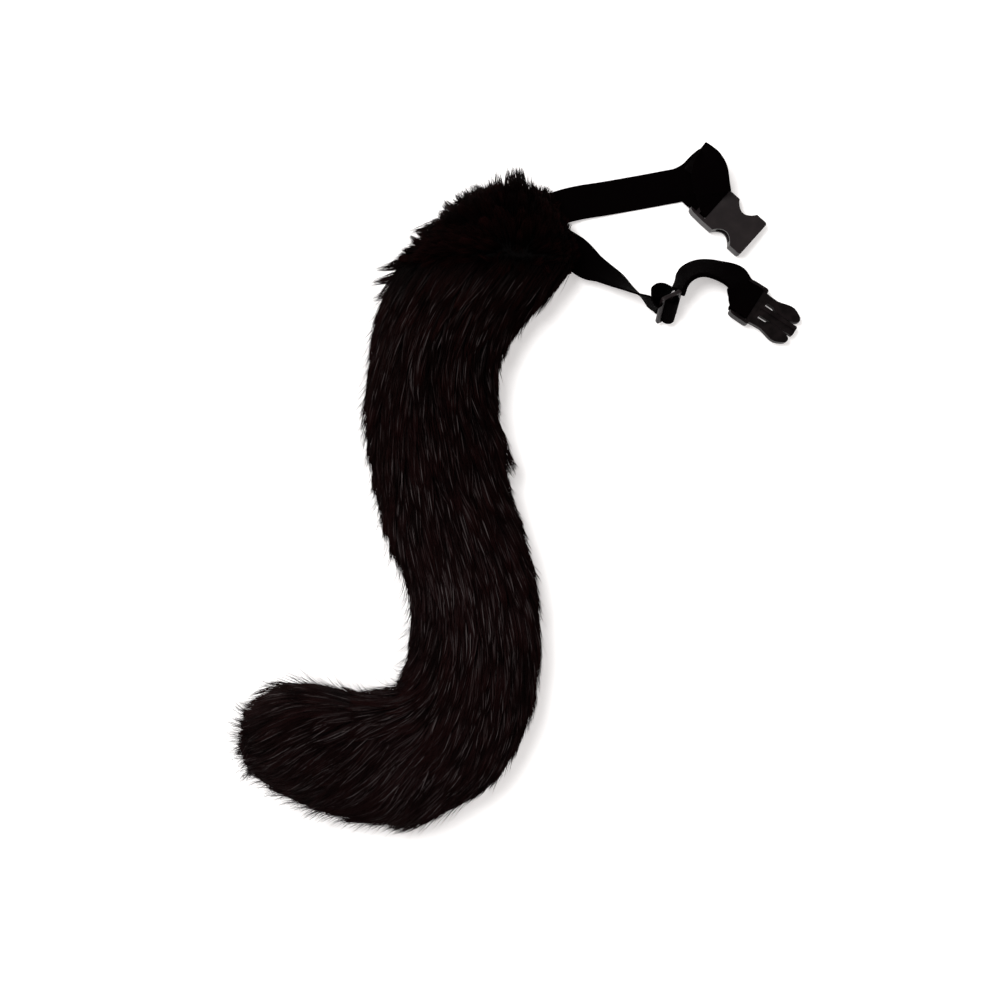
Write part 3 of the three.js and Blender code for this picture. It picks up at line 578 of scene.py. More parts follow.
def tuftPaths(rng):
    # each tuft is a bundle that narrows from its root to its point
    roots, paths = [], []
    for rootX, rootY, tipX, tipY, strands in tufts:
        root = np.array([rootX, rootY, pile["tuftHeight"]]) / 1000 + partShift
        tip = np.array([tipX, tipY, pile["tuftHeight"] + rng.random() * 5 - 1]) / 1000 + partShift
        ahead = tip - root
        aside = unit(np.cross(ahead, [0, 0, 1.0]))
        for _ in range(strands):
            across = (rng.random() - 0.5) * pile["tuftWidth"]
            up = (rng.random() - 0.5) * pile["tuftDepth"]
            reach = 0.62 + 0.43 * rng.random()
            bow = (rng.random() - 0.5) * pile["tuftBow"]
            start = root + aside * across + np.array([0, 0, up])
            stop = root + ahead * reach + aside * (across * 0.14 + bow) + np.array([0, 0, up * 0.3])
            middle = (strandShares * (1 - strandShares))[:, None] * aside * bow * 1.6
            paths.append(start + (stop - start) * strandShares[:, None] + middle)
            roots.append(start)
    return np.array(roots), np.array(paths), np.zeros((len(paths), 3)), np.ones(len(paths), bool)


def strandPiece(rng, name, made, material, glintStreakShare, guardThick):
    roots, paths, outwards, guard = made
    paths, clump = clumpTogether(rng, roots, paths, guard)
    push = pile["clumpFlare"] * (rng.random(len(paths)) ** 2)[clump]
    push *= np.where(guard, 0, 1)
    paths += (outwards[:, None] * push[:, None, None]) * (strandShares**2)[None, :, None]
    paths[:, :, 2] = np.maximum(paths[:, :, 2], 0.0005 + 0.0012 * rng.random(len(paths))[:, None])
    count = len(paths)
    # random darkness of each strand; the sheen strands and the brightest ones get higher tones, which furTint
    # paints as a grey highlight
    tone = rng.random(count) * 0.35
    lit = roots[:, 1] - partShift[1] < pile["glintStreakStart"]
    sheen = (rng.random(count) < glintStreakShare * 4) & ~guard & lit
    tone[sheen] = 0.45 + 0.2 * rng.random(sheen.sum())
    glintStreak = (rng.random(count) < glintStreakShare) & ~guard & lit
    tone[glintStreak] = 0.7 + 0.3 * rng.random(glintStreak.sum())
    paths[glintStreak | sheen, 1:, 2] += pile["glintStreakLift"]
    thick = pile["radius"] * (0.75 + 0.5 * rng.random(count))
    thick[glintStreak | sheen] *= pile["glintStreakThick"]
    thick[guard] *= guardThick
    taper = np.array([1.0, 0.95, 0.62, 0.0])
    radii = thick[:, None] * taper[None]
    tones = {"strandToneAndGlint": tone, "clumpTone": rng.random(count)[clump], "tipShare": tipShareAt(roots)}
    piece = strandMesh(name, paths, radii, tones)
    piece.data.materials.append(material)
    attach(piece, "root")
    return piece


def tipShareAt(points):
    # 0 at the root of the tail and 1 at its end: the pile is browner towards the end, and its painted
    # highlights are stronger there
    return np.clip((-0.06 - (points[:, 1] - partShift[1])) / 0.36, 0, 1)


def makeFurTint():
    # colour of one strand from root to tip: dark, a painted grey highlight in the middle, and a warm tip
    # painted for light shining through the thin ends
    group, start, end = newGroup(
        "furTint",
        [
            ("Dark", "NodeSocketColor", (0.0003, 0.0002, 0.0002, 1)),
            ("Brown", "NodeSocketColor", (0.0072, 0.0036, 0.0038, 1)),
            ("Backlit Tip", "NodeSocketColor", (0.014, 0.0032, 0.003, 1)),
            ("Glint", "NodeSocketColor", (0.042, 0.034, 0.034, 1)),
            ("Glint Amount", "NodeSocketFloat", 1.0),
            ("Backlit Tip Amount", "NodeSocketFloat", 1.0),
        ],
        [("Color", "NodeSocketColor"), ("Roughness", "NodeSocketFloat")],
    )
    labels = (("strandAlong", 300), ("strandToneAndGlint", 150), ("clumpTone", -200), ("tipShare", -350))
    along, tone, clump, place = (
        addNode(group, "ShaderNodeAttribute", (-900, y), attribute_name=label).outputs["Fac"]
        for label, y in labels
    )
    brown = scaleAndAdd(group, place, 1.5, 0.16, (-600, -350))
    patch = mathNode(group, "POWER", clump, 2.0, (-750, -250))
    patch = mathNode(group, "ADD", tone, patch, (-600, -250))
    brown = mathNode(group, "MULTIPLY", brown, patch, (-450, -300), True)
    pileColour = mixColour(group, brown, start.outputs["Dark"], start.outputs["Brown"], (-300, -200))
    # painted light: the strands' ends are warmed towards a reddish colour, painted for light shining through
    # the thin hairs
    tip = mathNode(group, "POWER", along, 2.6, (-600, 300))
    tip = mathNode(group, "MULTIPLY", tip, start.outputs["Backlit Tip Amount"], (-450, 300))
    tipClump = mathNode(group, "ADD", clump, 0.2, (-450, 150))
    tipClump = mathNode(group, "MULTIPLY", tip, tipClump, (-300, 300), True)
    base = mixColour(group, tipClump, pileColour, start.outputs["Backlit Tip"], (-150, 200))
    # painted highlight: strands of high tone take the Glint colour around the middle of their length, more so
    # towards the tail's end
    middle = mathNode(group, "SUBTRACT", along, 0.55, (-600, 0))
    middle = mathNode(group, "MULTIPLY", middle, middle, (-450, 0))
    middle = scaleAndAdd(group, middle, -10.0, 1.0, (-300, 0))
    glintStreak = mathNode(group, "SUBTRACT", tone, 0.45, (-600, -100))
    glintStreak = mathNode(group, "MULTIPLY", glintStreak, 1.8, (-450, -100), True)
    glint = mathNode(group, "MULTIPLY", middle, glintStreak, (-150, -50), True)
    lit = scaleAndAdd(group, place, 1.1, 0.85, (-150, -200))
    lit = mathNode(group, "MULTIPLY", lit, start.outputs["Glint Amount"], (0, -200))
    glint = mathNode(group, "MULTIPLY", glint, lit, (0, -50), True)
    colour = mixColour(group, glint, base, start.outputs["Glint"], (200, 100))
    rough = scaleAndAdd(group, tone, -0.15, 0.55, (200, -150))
    group.links.new(colour, end.inputs["Color"])
    group.links.new(rough, end.inputs["Roughness"])
    return group


def furMaterial(name, tint, gloss, **values):
    material, shader = newMaterial(name)
    tree = material.node_tree
    node = placeGroup(tree, tint, **values)
    tree.links.new(node.outputs["Color"], shader.inputs["Base Color"])
    tree.links.new(node.outputs["Roughness"], shader.inputs["Roughness"])
    shader.inputs["Specular IOR Level"].default_value = gloss
    shader.inputs["Specular Tint"].default_value = (1.0, 0.75, 0.72, 1)
    return material


def underfurMaterial(name, colour):
    material, shader = newMaterial(name)
    tree = material.node_tree
    coords = addNode(tree, "ShaderNodeTexCoord", (-900, 0))
    noise = setInputs(addNode(tree, "ShaderNodeTexNoise", (-600, 0)), Scale=900, Detail=4, Roughness=0.7)
    tree.links.new(coords.outputs["Object"], noise.inputs["Vector"])
    # random mottle, darker in the low places of the bump: partly painted shade in those hollows
    darker = tuple(c * 0.3 for c in colour[:3]) + (1,)
    tint = mixColour(tree, noise.outputs["Fac"], darker, colour, (-300, 100))
    tree.links.new(tint, shader.inputs["Base Color"])
    linkBump(tree, noise.outputs["Fac"], shader, 0.9, 0.0012)
    shader.inputs["Roughness"].default_value = 0.95
    shader.inputs["Specular IOR Level"].default_value = 0.04
    return material


def makeFur():
    rng = np.random.default_rng(pile["seed"])
    tint = makeFurTint()
    tailLook = furMaterial("tailPile", tint, 0.03)
    # painted shade: the cap's pile is the tail's fur painted much darker and with weaker painted highlights,
    # since its hairs catch little light
    capShadedLook = furMaterial(
        "capPileShaded", tint, 0.006, Dark=(0.0003, 0.0002, 0.0002, 1), Brown=(0.0006, 0.0003, 0.0003, 1),
        **{"Glint Amount": 0.3, "Backlit Tip Amount": 0.8},
    )
    under = underfurMaterial("underfur", pile["underColour"])
    thin = pile["guardThick"]
    rings = coreRings(tailRows, 0, pile["tipRow"], 4, 36)
    rings.append(roundedEnd(rings[-1], tail["tipHeading"], 0.003, 0.7))
    tailCore = makeCore("tail_underfur", rings)
    tailCore.data.materials.append(under)
    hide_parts("tail_fur")
    rings = coreRings(capRows, pile["capTopRow"], 4, 4, 36)
    rings.insert(0, roundedEnd(rings[0], tail["rootHeading"], 0.002, 0.75))
    capCore = makeCore("cap_underfur", rings)
    capCore.data.materials.append(under)
    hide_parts("base_fur")
    spans = (-0.25, 4.2, 8.4, 12.2, pile["tipRow"])
    for i in range(len(spans) - 1):
        count = int(pile["strandsOnTail"] / (len(spans) - 1))
        made = tailPaths(rng, spans[i], spans[i + 1], count)
        strandPiece(rng, f"tail_pile_{i + 1}", made, tailLook, pile["glintStreakShare"], thin)
    strandPiece(rng, "tip_pile", tipPaths(rng, pile["strandsOnTip"]), tailLook, 0.01, thin)
    strandPiece(rng, "cap_pile", capPaths(rng, pile["strandsOnCap"]), capShadedLook, 0.003, thin)
    strandPiece(rng, "fur_tufts", tuftPaths(rng), tailLook, 0.0, pile["tuftThick"])
    print("fur made")


beltReach = 0.1  # the belt's tables are in tenths of a metre
webbing = {
    "width": 0.025,
    "thick": 0.0015,
    "layerGap": 0.0006,  # between the two layers of the arc
    "colour": (0.0009, 0.0004, 0.0005, 1),
    # painted shade between the woven threads
    "gapShadeColour": (0.0002, 0.0001, 0.0001, 1),
    "gloss": 0.008,
}
buckle = {"barSize": 3, "barBack": 5, "wrapGap": 0.3}  # the bar of both halves, millimetres
socketPlace = {"x": 1.022, "y": 0.26, "z": 0.077, "heading": -42, "roll": -7}
plugPlace = {"x": 1.292, "y": -0.48, "z": 0.085, "heading": -33, "roll": -9}
sliderPlace = {"x": 0.774, "y": -0.567, "z": 0.177, "heading": 25.5, "climb": -17.8, "lean": 29.7, "tip": 4.1}

# The belt's middle line: x, y and height as shares of beltReach, then the heading of the edge that
# rises and how steeply it rises, in degrees.
foldRoute = [
    (-0.23, 0.1, 0.034, 97, 0),
    (-0.1, 0.14, 0.048, 98, 0),
    (0.02, 0.18, 0.058, 99, 0),
    (0.15, 0.212, 0.045, 100, 0),
    (0.3, 0.238, 0.026, 100, 0),
    (0.46, 0.267, 0.016, 99, 0),
    (0.62, 0.296, 0.014, 99, 0),
    (0.76, 0.322, 0.016, 100, 0),
    (0.87, 0.345, 0.022, 102, 0),
    (0.945, 0.385, 0.05, 108, -7),
    (1.0, 0.437, 0.105, 115, -12),
    (1.05, 0.466, 0.165, 124, -8),
    (1.076, 0.468, 0.225, 129, 0),
    (1.074, 0.45, 0.26, 137, 8),
    (1.056, 0.408, 0.285, 146, 6),
    (1.054, 0.34, 0.27, 164, 14),
    (1.078, 0.27, 0.225, 192, 26),
    (1.11, 0.2, 0.16, 212, 7),
]
lowerRoute = [
    (-0.23, 0.085, 0.092, 270, 0),
    (-0.13, 0.01, 0.086, 260, 0),
    (-0.02, -0.085, 0.066, 252, 0),
    (0.1, -0.16, 0.047, 243, 2),
    (0.215, -0.264, 0.082, 236, 26),
    (0.305, -0.312, 0.107, 235, 44),
    (0.405, -0.371, 0.128, 233, 56),
    (0.49, -0.43, 0.145, 234, 72),
    (0.57, -0.482, 0.16, 236, 84),
    (0.63, -0.527, 0.175, 62, 82),
]
arcRoute = [
    (0.88, -0.362, 0.205, 292, 64),
    (0.942, -0.308, 0.185, 285, 62),
    (1.028, -0.285, 0.16, 270, 59),
    (1.152, -0.303, 0.135, 250, 53),
    (1.27, -0.354, 0.126, 236, 38),
    (1.299, -0.432, 0.122, 237, 18),
]
# The weave through the slider in millimetres: across the bars, out of the frame, up along the bars,
# then its turn towards the arc's lean (or, below nothing, towards upright) and its tilt across.
runningWeave = [
    (-8.9, 3.1, 0, -1, 0), (-6.8, 2.8, 0, -0.9, 0), (-5.1, 2.3, 0, -0.45, 0), (-4.5, 0.8, 0, -0.1, 0),
    (-4.4, -1.4, 0, 0, 0), (-4, -3.8, 0, 0, 0), (-2.3, -5.8, 0, 0, 0), (0, -6.4, 0, 0, 0),
    (2.3, -5.8, 0, 0, 0), (4, -3.8, 0, 0, 0), (4.4, -1.4, 0, 0, 0), (4.5, 0.8, 0, 0, 0),
    (5.2, 2.4, 0, 0, 0), (7, 3.2, 0, 0.05, 0), (9.4, 4.1, 0.6, 0.25, 0), (12.8, 5.8, 3.6, 0.85, 0),
]
holdingWeave = [
    (12.4, 9, 5, 0.85, 0), (8, 9.6, 3, 0.4, 0), (3.4, 11.8, 1.6, 0.12, 0), (-1.2, 14, 0.6, 0, -0.05),
    (-5.4, 13.6, 0, 0, -0.12), (-7.2, 10.8, 0, 0, -0.18), (-7.4, 7.4, 0, 0, -0.2), (-6.6, 5.9, 0, 0, -0.16),
    (-5.2, 4.9, 0, 0, -0.1), (-3.6, 3.7, 0, 0, 0), (-2.6, 1.4, 0, 0, 0), (-2.6, -0.9, 0, 0, 0),
    (-1.7, -2.6, 0, 0, 0), (0, -3, 0, 0, 0), (1.7, -2.6, 0, 0, 0), (2.6, -0.9, 0, 0, 0),
    (2.6, 1, 0, 0, 0), (2.2, 2.4, 0, 0, 0),
]
# The end of the belt, folded back over the turn at the socket half, in the same shares and degrees.
flapRoute = [
    (1.1, 0.245, 0.225, 8, 6),
    (1.084, 0.31, 0.264, 13, 10),
    (1.066, 0.395, 0.3, 22, 12),
    (1.036, 0.444, 0.312, 28, 18),
    (1.0, 0.484, 0.28, 34, 28),
    (0.966, 0.522, 0.225, 36, 36),
]


def hardwareFrame(place):
    turn = Matrix.Rotation(math.radians(place["heading"]), 4, "Z")
    roll = Matrix.Rotation(math.radians(place["roll"]), 4, "X")
    at = Vector([place[key] * beltReach for key in "xyz"]) + Vector(partShift)
    return Matrix.Translation(at) @ turn @ roll


def sliderMatrix():
    climb, heading = math.radians(sliderPlace["climb"]), math.radians(sliderPlace["heading"])
    level = math.cos(climb)
    across = Vector((math.cos(heading) * level, math.sin(heading) * level, math.sin(climb)))
    lean, tip = math.radians(sliderPlace["lean"]), math.radians(sliderPlace["tip"])
    along = Vector((math.sin(tip), math.sin(lean), math.cos(lean)))
    along = (along - across * along.dot(across)).normalized()
    out = across.cross(along)
    turn = Matrix((across, along, out)).transposed().to_4x4()
    at = Vector([sliderPlace[key] * beltReach for key in "xyz"]) + Vector(partShift)
    return Matrix.Translation(at) @ turn


socketFrame = hardwareFrame(socketPlace)
plugFrame = hardwareFrame(plugPlace)
sliderFrame = sliderMatrix()
barPlace = buckle["barBack"] + buckle["barSize"] / 2
wrapRadius = buckle["barSize"] * 0.75 + buckle["wrapGap"] + webbing["thick"] * 1000 / 2


def routeStation(row):
    x, y, z, across, rise = row
    middle = Vector((x, y, z)) * beltReach + Vector(partShift)
    level = math.cos(math.radians(rise))
    across = math.radians(across)
    edge = Vector((math.cos(across) * level, math.sin(across) * level, math.sin(math.radians(rise))))
    return middle, edge


def frameStation(matrix, x, y, z, edge):
    point = matrix @ (Vector((x, y, z)) * 0.001)
    return point, (matrix.to_3x3() @ Vector(edge)).normalized()


def barTurn(matrix, fromAngle, toAngle, steps):
    stations = []
    for i in range(steps + 1):
        angle = math.radians(fromAngle + (toAngle - fromAngle) * i / steps)
        x = barPlace + wrapRadius * math.cos(angle)
        stations.append(frameStation(matrix, x, 0, wrapRadius * math.sin(angle), (0, -1, 0)))
    return stations


def shifted(stations, offset):
    moved = []
    for i, (middle, edge) in enumerate(stations):
        before = stations[max(i - 1, 0)][0]
        after = stations[min(i + 1, len(stations) - 1)][0]
        normal = (after - before).cross(edge).normalized()
        moved.append((middle + normal * offset, edge))
    return moved


def weaveStations(rows, arcEdge):
    stations = []
    for across, out, rise, turn, tilt in rows:
        point, edge = frameStation(sliderFrame, across, rise, -out, (tilt, 1, 0))
        other = arcEdge if turn > 0 else Vector((0, 0, 1))
        stations.append((point, (edge * (1 - abs(turn)) + other * abs(turn)).normalized()))
    return stations


def beltStations():
    layer = (webbing["thick"] + webbing["layerGap"]) / 2
    fold = [routeStation(row) for row in foldRoute]
    lower = [routeStation(row) for row in lowerRoute]
    arc = [routeStation(row) for row in arcRoute]
    flat = (0, -1, 0)
    upper = [frameStation(socketFrame, x, 0, -wrapRadius, flat) for x in (-8, -2)]
    upper += barTurn(socketFrame, -90, -20, 4)
    upper += [frameStation(socketFrame, x, 0.3, z, flat) for x, z in ((12, 1.0), (12.9, 3.8), (12.3, 7.2))]
    upper += fold[::-1]
    hidden = fold[0][0].lerp(lower[0][0], 0.5)
    hidden.x -= (lower[0][0].z - fold[0][0].z) * 0.75 + webbing["thick"]
    rest = lower + weaveStations(runningWeave, arc[0][1]) + shifted(arc, layer)
    rest += [frameStation(plugFrame, barPlace - 1.7 * wrapRadius, 0.2, -wrapRadius * 0.8, flat)]
    rest += barTurn(plugFrame, -90, -20, 4)
    aboveBar = ((12, 0.8), (12.9, 3), (11.8, 5.4), (8, 6.4))
    rest += [frameStation(plugFrame, x, 0.2, z, flat) for x, z in aboveBar]
    rest += [frameStation(plugFrame, barPlace - wrapRadius, 0.2, wrapRadius * 1.6, flat)]
    rest += shifted(arc, -layer)[::-1] + weaveStations(holdingWeave, arc[0][1])
    return upper + [(hidden, fold[0][1])] + [(middle, -edge) for middle, edge in rest]


def centripetal(points, position):
    # a point and its travel on the smooth curve through the points
    last = len(points) - 1
    row = min(int(position), last - 1)
    t = position - row
    p1, p2 = points[row], points[row + 1]
    p0 = points[row - 1] if row > 0 else 2 * p1 - p2
    p3 = points[row + 2] if row + 2 <= last else 2 * p2 - p1
    gapShade = [max((b - a).length, 1e-7) ** 0.5 for a, b in ((p0, p1), (p1, p2), (p2, p3))]
    start = ((p1 - p0) / gapShade[0] - (p2 - p0) / (gapShade[0] + gapShade[1]) + (p2 - p1) / gapShade[1]) * gapShade[1]
    end = ((p2 - p1) / gapShade[1] - (p3 - p1) / (gapShade[1] + gapShade[2]) + (p3 - p2) / gapShade[2]) * gapShade[1]
    cube, square = 2 * p1 - 2 * p2 + start + end, 3 * p2 - 3 * p1 - 2 * start - end
    point = cube * t**3 + square * t**2 + start * t + p1
    travel = cube * (3 * t**2) + square * (2 * t) + start
    return point, travel.normalized()


def webbingProfile():
    half, thick = webbing["width"] / 2, webbing["thick"] / 2
    top = [(-1.0, 0.0), (-0.992, 0.55), (-0.965, 0.93), (-0.93, 1.0), (-0.5, 0.96), (0.0, 0.94),
           (0.5, 0.96), (0.93, 1.0), (0.965, 0.93), (0.992, 0.55)]
    ring = top + [(1.0, 0.0)] + [(x, -z) for x, z in top[1:][::-1]]
    return [(x * half, z * thick) for x, z in ring]


def stripRings(stations):
    # the webbing's section along smooth curves through the stations, and how far along each one is
    middles = [middle for middle, edge in stations]
    profile = webbingProfile()
    perStretch = 6
    rings, lengths = [], []
    travelled, lastPoint = 0.0, None
    for i in range((len(stations) - 1) * perStretch + 1):
        position = i / perStretch
        row = min(int(position), len(stations) - 2)
        share = position - row
        middle, travel = centripetal(middles, position)
        edge = stations[row][1].lerp(stations[row + 1][1], share)
        edge = (edge - travel * edge.dot(travel) * 0.6).normalized()
        normal = edge.cross(travel).normalized()
        rings.append([middle + edge * across + normal * face for across, face in profile])
        travelled += (middle - lastPoint).length if lastPoint else 0
        lastPoint = middle
        lengths.append(travelled)
    return rings, lengths


def makeStrip(name, stations, material):
    rings, lengths = stripRings(stations)
    profile = webbingProfile()
    points, faces = skinOver(rings)
    belt = meshFrom(name, points, faces)
    layer = belt.data.uv_layers.new(name="weaveMap")
    count = len(profile)
    for polygon in belt.data.polygons:
        corners = [belt.data.loops[i].vertex_index for i in polygon.loop_indices]
        for loop, corner in zip(polygon.loop_indices, corners):
            ring, side = divmod(corner, count)
            if ring < len(rings):
                layer.data[loop].uv = (profile[side][0] * 1000, lengths[ring] * 1000)
            else:
                layer.data[loop].uv = (0, (lengths[0] if side == 0 else lengths[-1]) * 1000)
    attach(belt, "root")
    belt.data.materials.append(material)
    return belt


def makeBelt():
    material = webbingMaterial()
    belt = makeStrip("belt_strap", beltStations(), material)
    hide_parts("belt_webbing")
    makeStrip("belt_end", [routeStation(row) for row in flapRoute], material)
    print("belt made")


def makeRibGroup():
    # woven rows from a map in millimetres: height of the threads, and a mask for painted shade in the low
    # places between them
    group, start, end = newGroup(
        "wovenRows",
        [
            ("Map", "NodeSocketVector", (0, 0, 0)),
            ("Thread", "NodeSocketFloat", 1.1),
            ("Slant", "NodeSocketFloat", 0.6),
        ],
        [("Height", "NodeSocketFloat"), ("Gap Shade", "NodeSocketFloat")],
    )
    split = addNode(group, "ShaderNodeSeparateXYZ", (-700, 0))
    group.links.new(start.outputs["Map"], split.inputs[0])
    x = mathNode(group, "DIVIDE", split.outputs[0], start.outputs["Thread"], (-500, 150))
    y = mathNode(group, "DIVIDE", split.outputs[1], start.outputs["Thread"], (-500, -50))
    fold = mathNode(group, "PINGPONG", x, 2.0, (-350, 150))
    lean = mathNode(group, "MULTIPLY", fold, start.outputs["Slant"], (-200, 150))
    row = mathNode(group, "ADD", y, lean, (-50, 0))
    wave = mathNode(group, "SINE", mathNode(group, "MULTIPLY", row, 2 * math.pi, (100, 0)), None, (250, 0))
    cross = mathNode(group, "SINE", mathNode(group, "MULTIPLY", x, 2 * math.pi, (100, 200)), None, (250, 200))
    both = mathNode(group, "MULTIPLY", wave, 0.35, (400, 0))
    both = mathNode(group, "ADD", both, mathNode(group, "MULTIPLY", cross, 0.15, (400, 200)), (500, 100))
    height = mathNode(group, "ADD", both, 0.5, (600, 100), True)
    gapShade = mathNode(group, "SUBTRACT", 1.0, height, (600, -100), True)
    group.links.new(height, end.inputs["Height"])
    group.links.new(gapShade, end.inputs["Gap Shade"])
    return group


def webbingMaterial():
    material, shader = newMaterial("blackWebbing")
    tree = material.node_tree
    mapNode = addNode(tree, "ShaderNodeUVMap", (-1100, 0), uv_map="weaveMap")
    weave = placeGroup(tree, groups["wovenRows"], (-800, 0))
    tree.links.new(mapNode.outputs[0], weave.inputs["Map"])
    # painted shade: the webbing is darker in the low places between its threads
    colour = mixColour(tree, weave.outputs["Gap Shade"], webbing["colour"], webbing["gapShadeColour"], (-400, 100))
    tree.links.new(colour, shader.inputs["Base Color"])
    linkBump(tree, weave.outputs["Height"], shader, 0.5, 0.0003)
    shader.inputs["Roughness"].default_value = 0.8
    shader.inputs["Specular IOR Level"].default_value = webbing["gloss"]
    shader.inputs["Specular Tint"].default_value = (1.0, 0.8, 0.85, 1)
    return material


def makePlasticGroup():
    # fine moulded grain, with its height, and paler worn places from a large soft noise
    group, start, end = newGroup(
        "mouldedGrain",
        [
            ("Colour", "NodeSocketColor", (0.0055, 0.0032, 0.0035, 1)),
            ("Worn", "NodeSocketColor", (0.017, 0.0115, 0.012, 1)),
            ("Worn Amount", "NodeSocketFloat", 0.3),
            ("Grain Size", "NodeSocketFloat", 2600.0),
        ],
        [("Color", "NodeSocketColor"), ("Roughness", "NodeSocketFloat"), ("Height", "NodeSocketFloat")],
    )
    coords = addNode(group, "ShaderNodeTexCoord", (-900, -200))
    grain = setInputs(addNode(group, "ShaderNodeTexNoise", (-600, -100)), Detail=3, Roughness=0.6)
    group.links.new(coords.outputs["Object"], grain.inputs["Vector"])
    group.links.new(start.outputs["Grain Size"], grain.inputs["Scale"])
    patches = addNode(group, "ShaderNodeTexNoise", (-600, -400))
    setInputs(patches, Scale=140, Detail=3, Roughness=0.55)
    group.links.new(coords.outputs["Object"], patches.inputs["Vector"])
    wear = scaleAndAdd(group, patches.outputs["Fac"], 3.0, -1.2, (-350, -400), True)
    wear = mathNode(group, "MULTIPLY", wear, start.outputs["Worn Amount"], (-150, -400), True)
    colour = mixColour(group, wear, start.outputs["Colour"], start.outputs["Worn"], (100, 100))
    rough = scaleAndAdd(group, grain.outputs["Fac"], 0.2, 0.3, (100, -150))
    group.links.new(colour, end.inputs["Color"])
    group.links.new(rough, end.inputs["Roughness"])
    group.links.new(grain.outputs["Fac"], end.inputs["Height"])
    return group


def plasticMaterial(name, gloss, **values):
    material, shader = newMaterial(name)
    tree = material.node_tree
    grain = placeGroup(tree, groups["mouldedGrain"], (-600, 0), **values)
    tree.links.new(grain.outputs["Color"], shader.inputs["Base Color"])
    tree.links.new(grain.outputs["Roughness"], shader.inputs["Roughness"])
    linkBump(tree, grain.outputs["Height"], shader, 0.25, 0.0001)
    shader.inputs["Specular IOR Level"].default_value = gloss
    return material


# Sizes in millimetres.
hardware = {
    "socketLength": 50,
    "socketThick": 10.5,
    "plugBody": 16.6,
    "plugReach": 32,
    "plugThick": 9.0,
    "halfWidth": 15.5,
    "slotWidth": 26,
    "slotEnd": 13.5,
    "plate": 2,
    "wall": 3,
    "edge": 0.75,  # rounding of the moulded edges
    "sliderBar": 2.8,
    "sliderSlot": 4.4,
    "sliderEnd": 2.3,
    "sliderThick": 2.8,
    "gloss": 0.16,
    "plugGloss": 0.045,
    # painted shade: the plug half is the socket half's plastic painted darker, for the shade of the belt over
    # it and of its recess
    "plugShadeColour": (0.0018, 0.001, 0.0011, 1),
    "sleeveColour": (0.012, 0.003, 0.0035, 1),
}


def plateFrom(name, outline, low, high):
    # a flat plate in millimetres from an outline, between two heights
    form = bmesh.new()
    face = form.faces.new([form.verts.new((x, y, low)) for x, y in outline])
    raised = bmesh.ops.extrude_face_region(form, geom=[face])["geom"]
    corners = [item for item in raised if isinstance(item, bmesh.types.BMVert)]
    bmesh.ops.translate(form, verts=corners, vec=(0, 0, high - low))
    bmesh.ops.recalc_face_normals(form, faces=form.faces)
    mesh = bpy.data.meshes.new(name)
    form.to_mesh(mesh)
    form.free()
    piece = bpy.data.objects.new(name, mesh)
    scene.collection.objects.link(piece)
    return piece


def mirrored(half):
    return half + [(x, -y) for x, y in half[::-1]]


def slab(fromX, toX, width, low, high):
    return plateFrom("cut", mirrored([(fromX, width / 2), (toX, width / 2)]), low, high)


def combine(piece, others, operation):
    for other in others:
        step = piece.modifiers.new("join", "BOOLEAN")
        step.operation = operation
        step.solver = "EXACT"
        step.object = other
        settle(piece)
        bpy.data.objects.remove(other)
    return piece


def settle(piece):
    # turns the modifiers' result into the piece's own mesh
    depsgraph = bpy.context.evaluated_depsgraph_get()
    mesh = bpy.data.meshes.new_from_object(piece.evaluated_get(depsgraph))
    piece.modifiers.clear()
    piece.data = mesh


def roundEdges(piece, width):
    bevel = piece.modifiers.new("softEdges", "BEVEL")
    bevel.width = width
    bevel.segments = 3
    bevel.limit_method = "ANGLE"
    bevel.angle_limit = math.radians(28)
    bevel.use_clamp_overlap = True
    settle(piece)
    tidy = bmesh.new()
    tidy.from_mesh(piece.data)
    bmesh.ops.remove_doubles(tidy, verts=tidy.verts, dist=0.004)
    bmesh.ops.dissolve_degenerate(tidy, edges=tidy.edges, dist=0.002)
    bmesh.ops.triangulate(tidy, faces=[face for face in tidy.faces if len(face.verts) > 4])
    tidy.to_mesh(piece.data)
    tidy.free()


def strapSlot(piece, thick):
    # the slot with its bar across; the cuts over and under the bar are a hair narrower than the others
    far = thick
    bar = buckle["barSize"] / 2
    width, back, end = hardware["slotWidth"], buckle["barBack"], hardware["slotEnd"]
    cuts = [
        slab(-1, back, width, -far, far),
        slab(-1.2, end - 0.5, width - 0.01, bar, far),
        slab(-1.2, end - 0.5, width - 0.01, -far, -bar),
        slab(back + buckle["barSize"], end, width, -far, far),
    ]
    return combine(piece, cuts, "DIFFERENCE")


def finishPiece(piece, matrix, replaced, material):
    piece.data.transform(matrix @ Matrix.Scale(0.001, 4))
    for polygon in piece.data.polygons:
        polygon.use_smooth = True
    piece.data.set_sharp_from_angle(angle=math.radians(32))
    piece.data.materials.clear()
    piece.data.materials.append(material)
    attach(piece, "root")
    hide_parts(replaced)


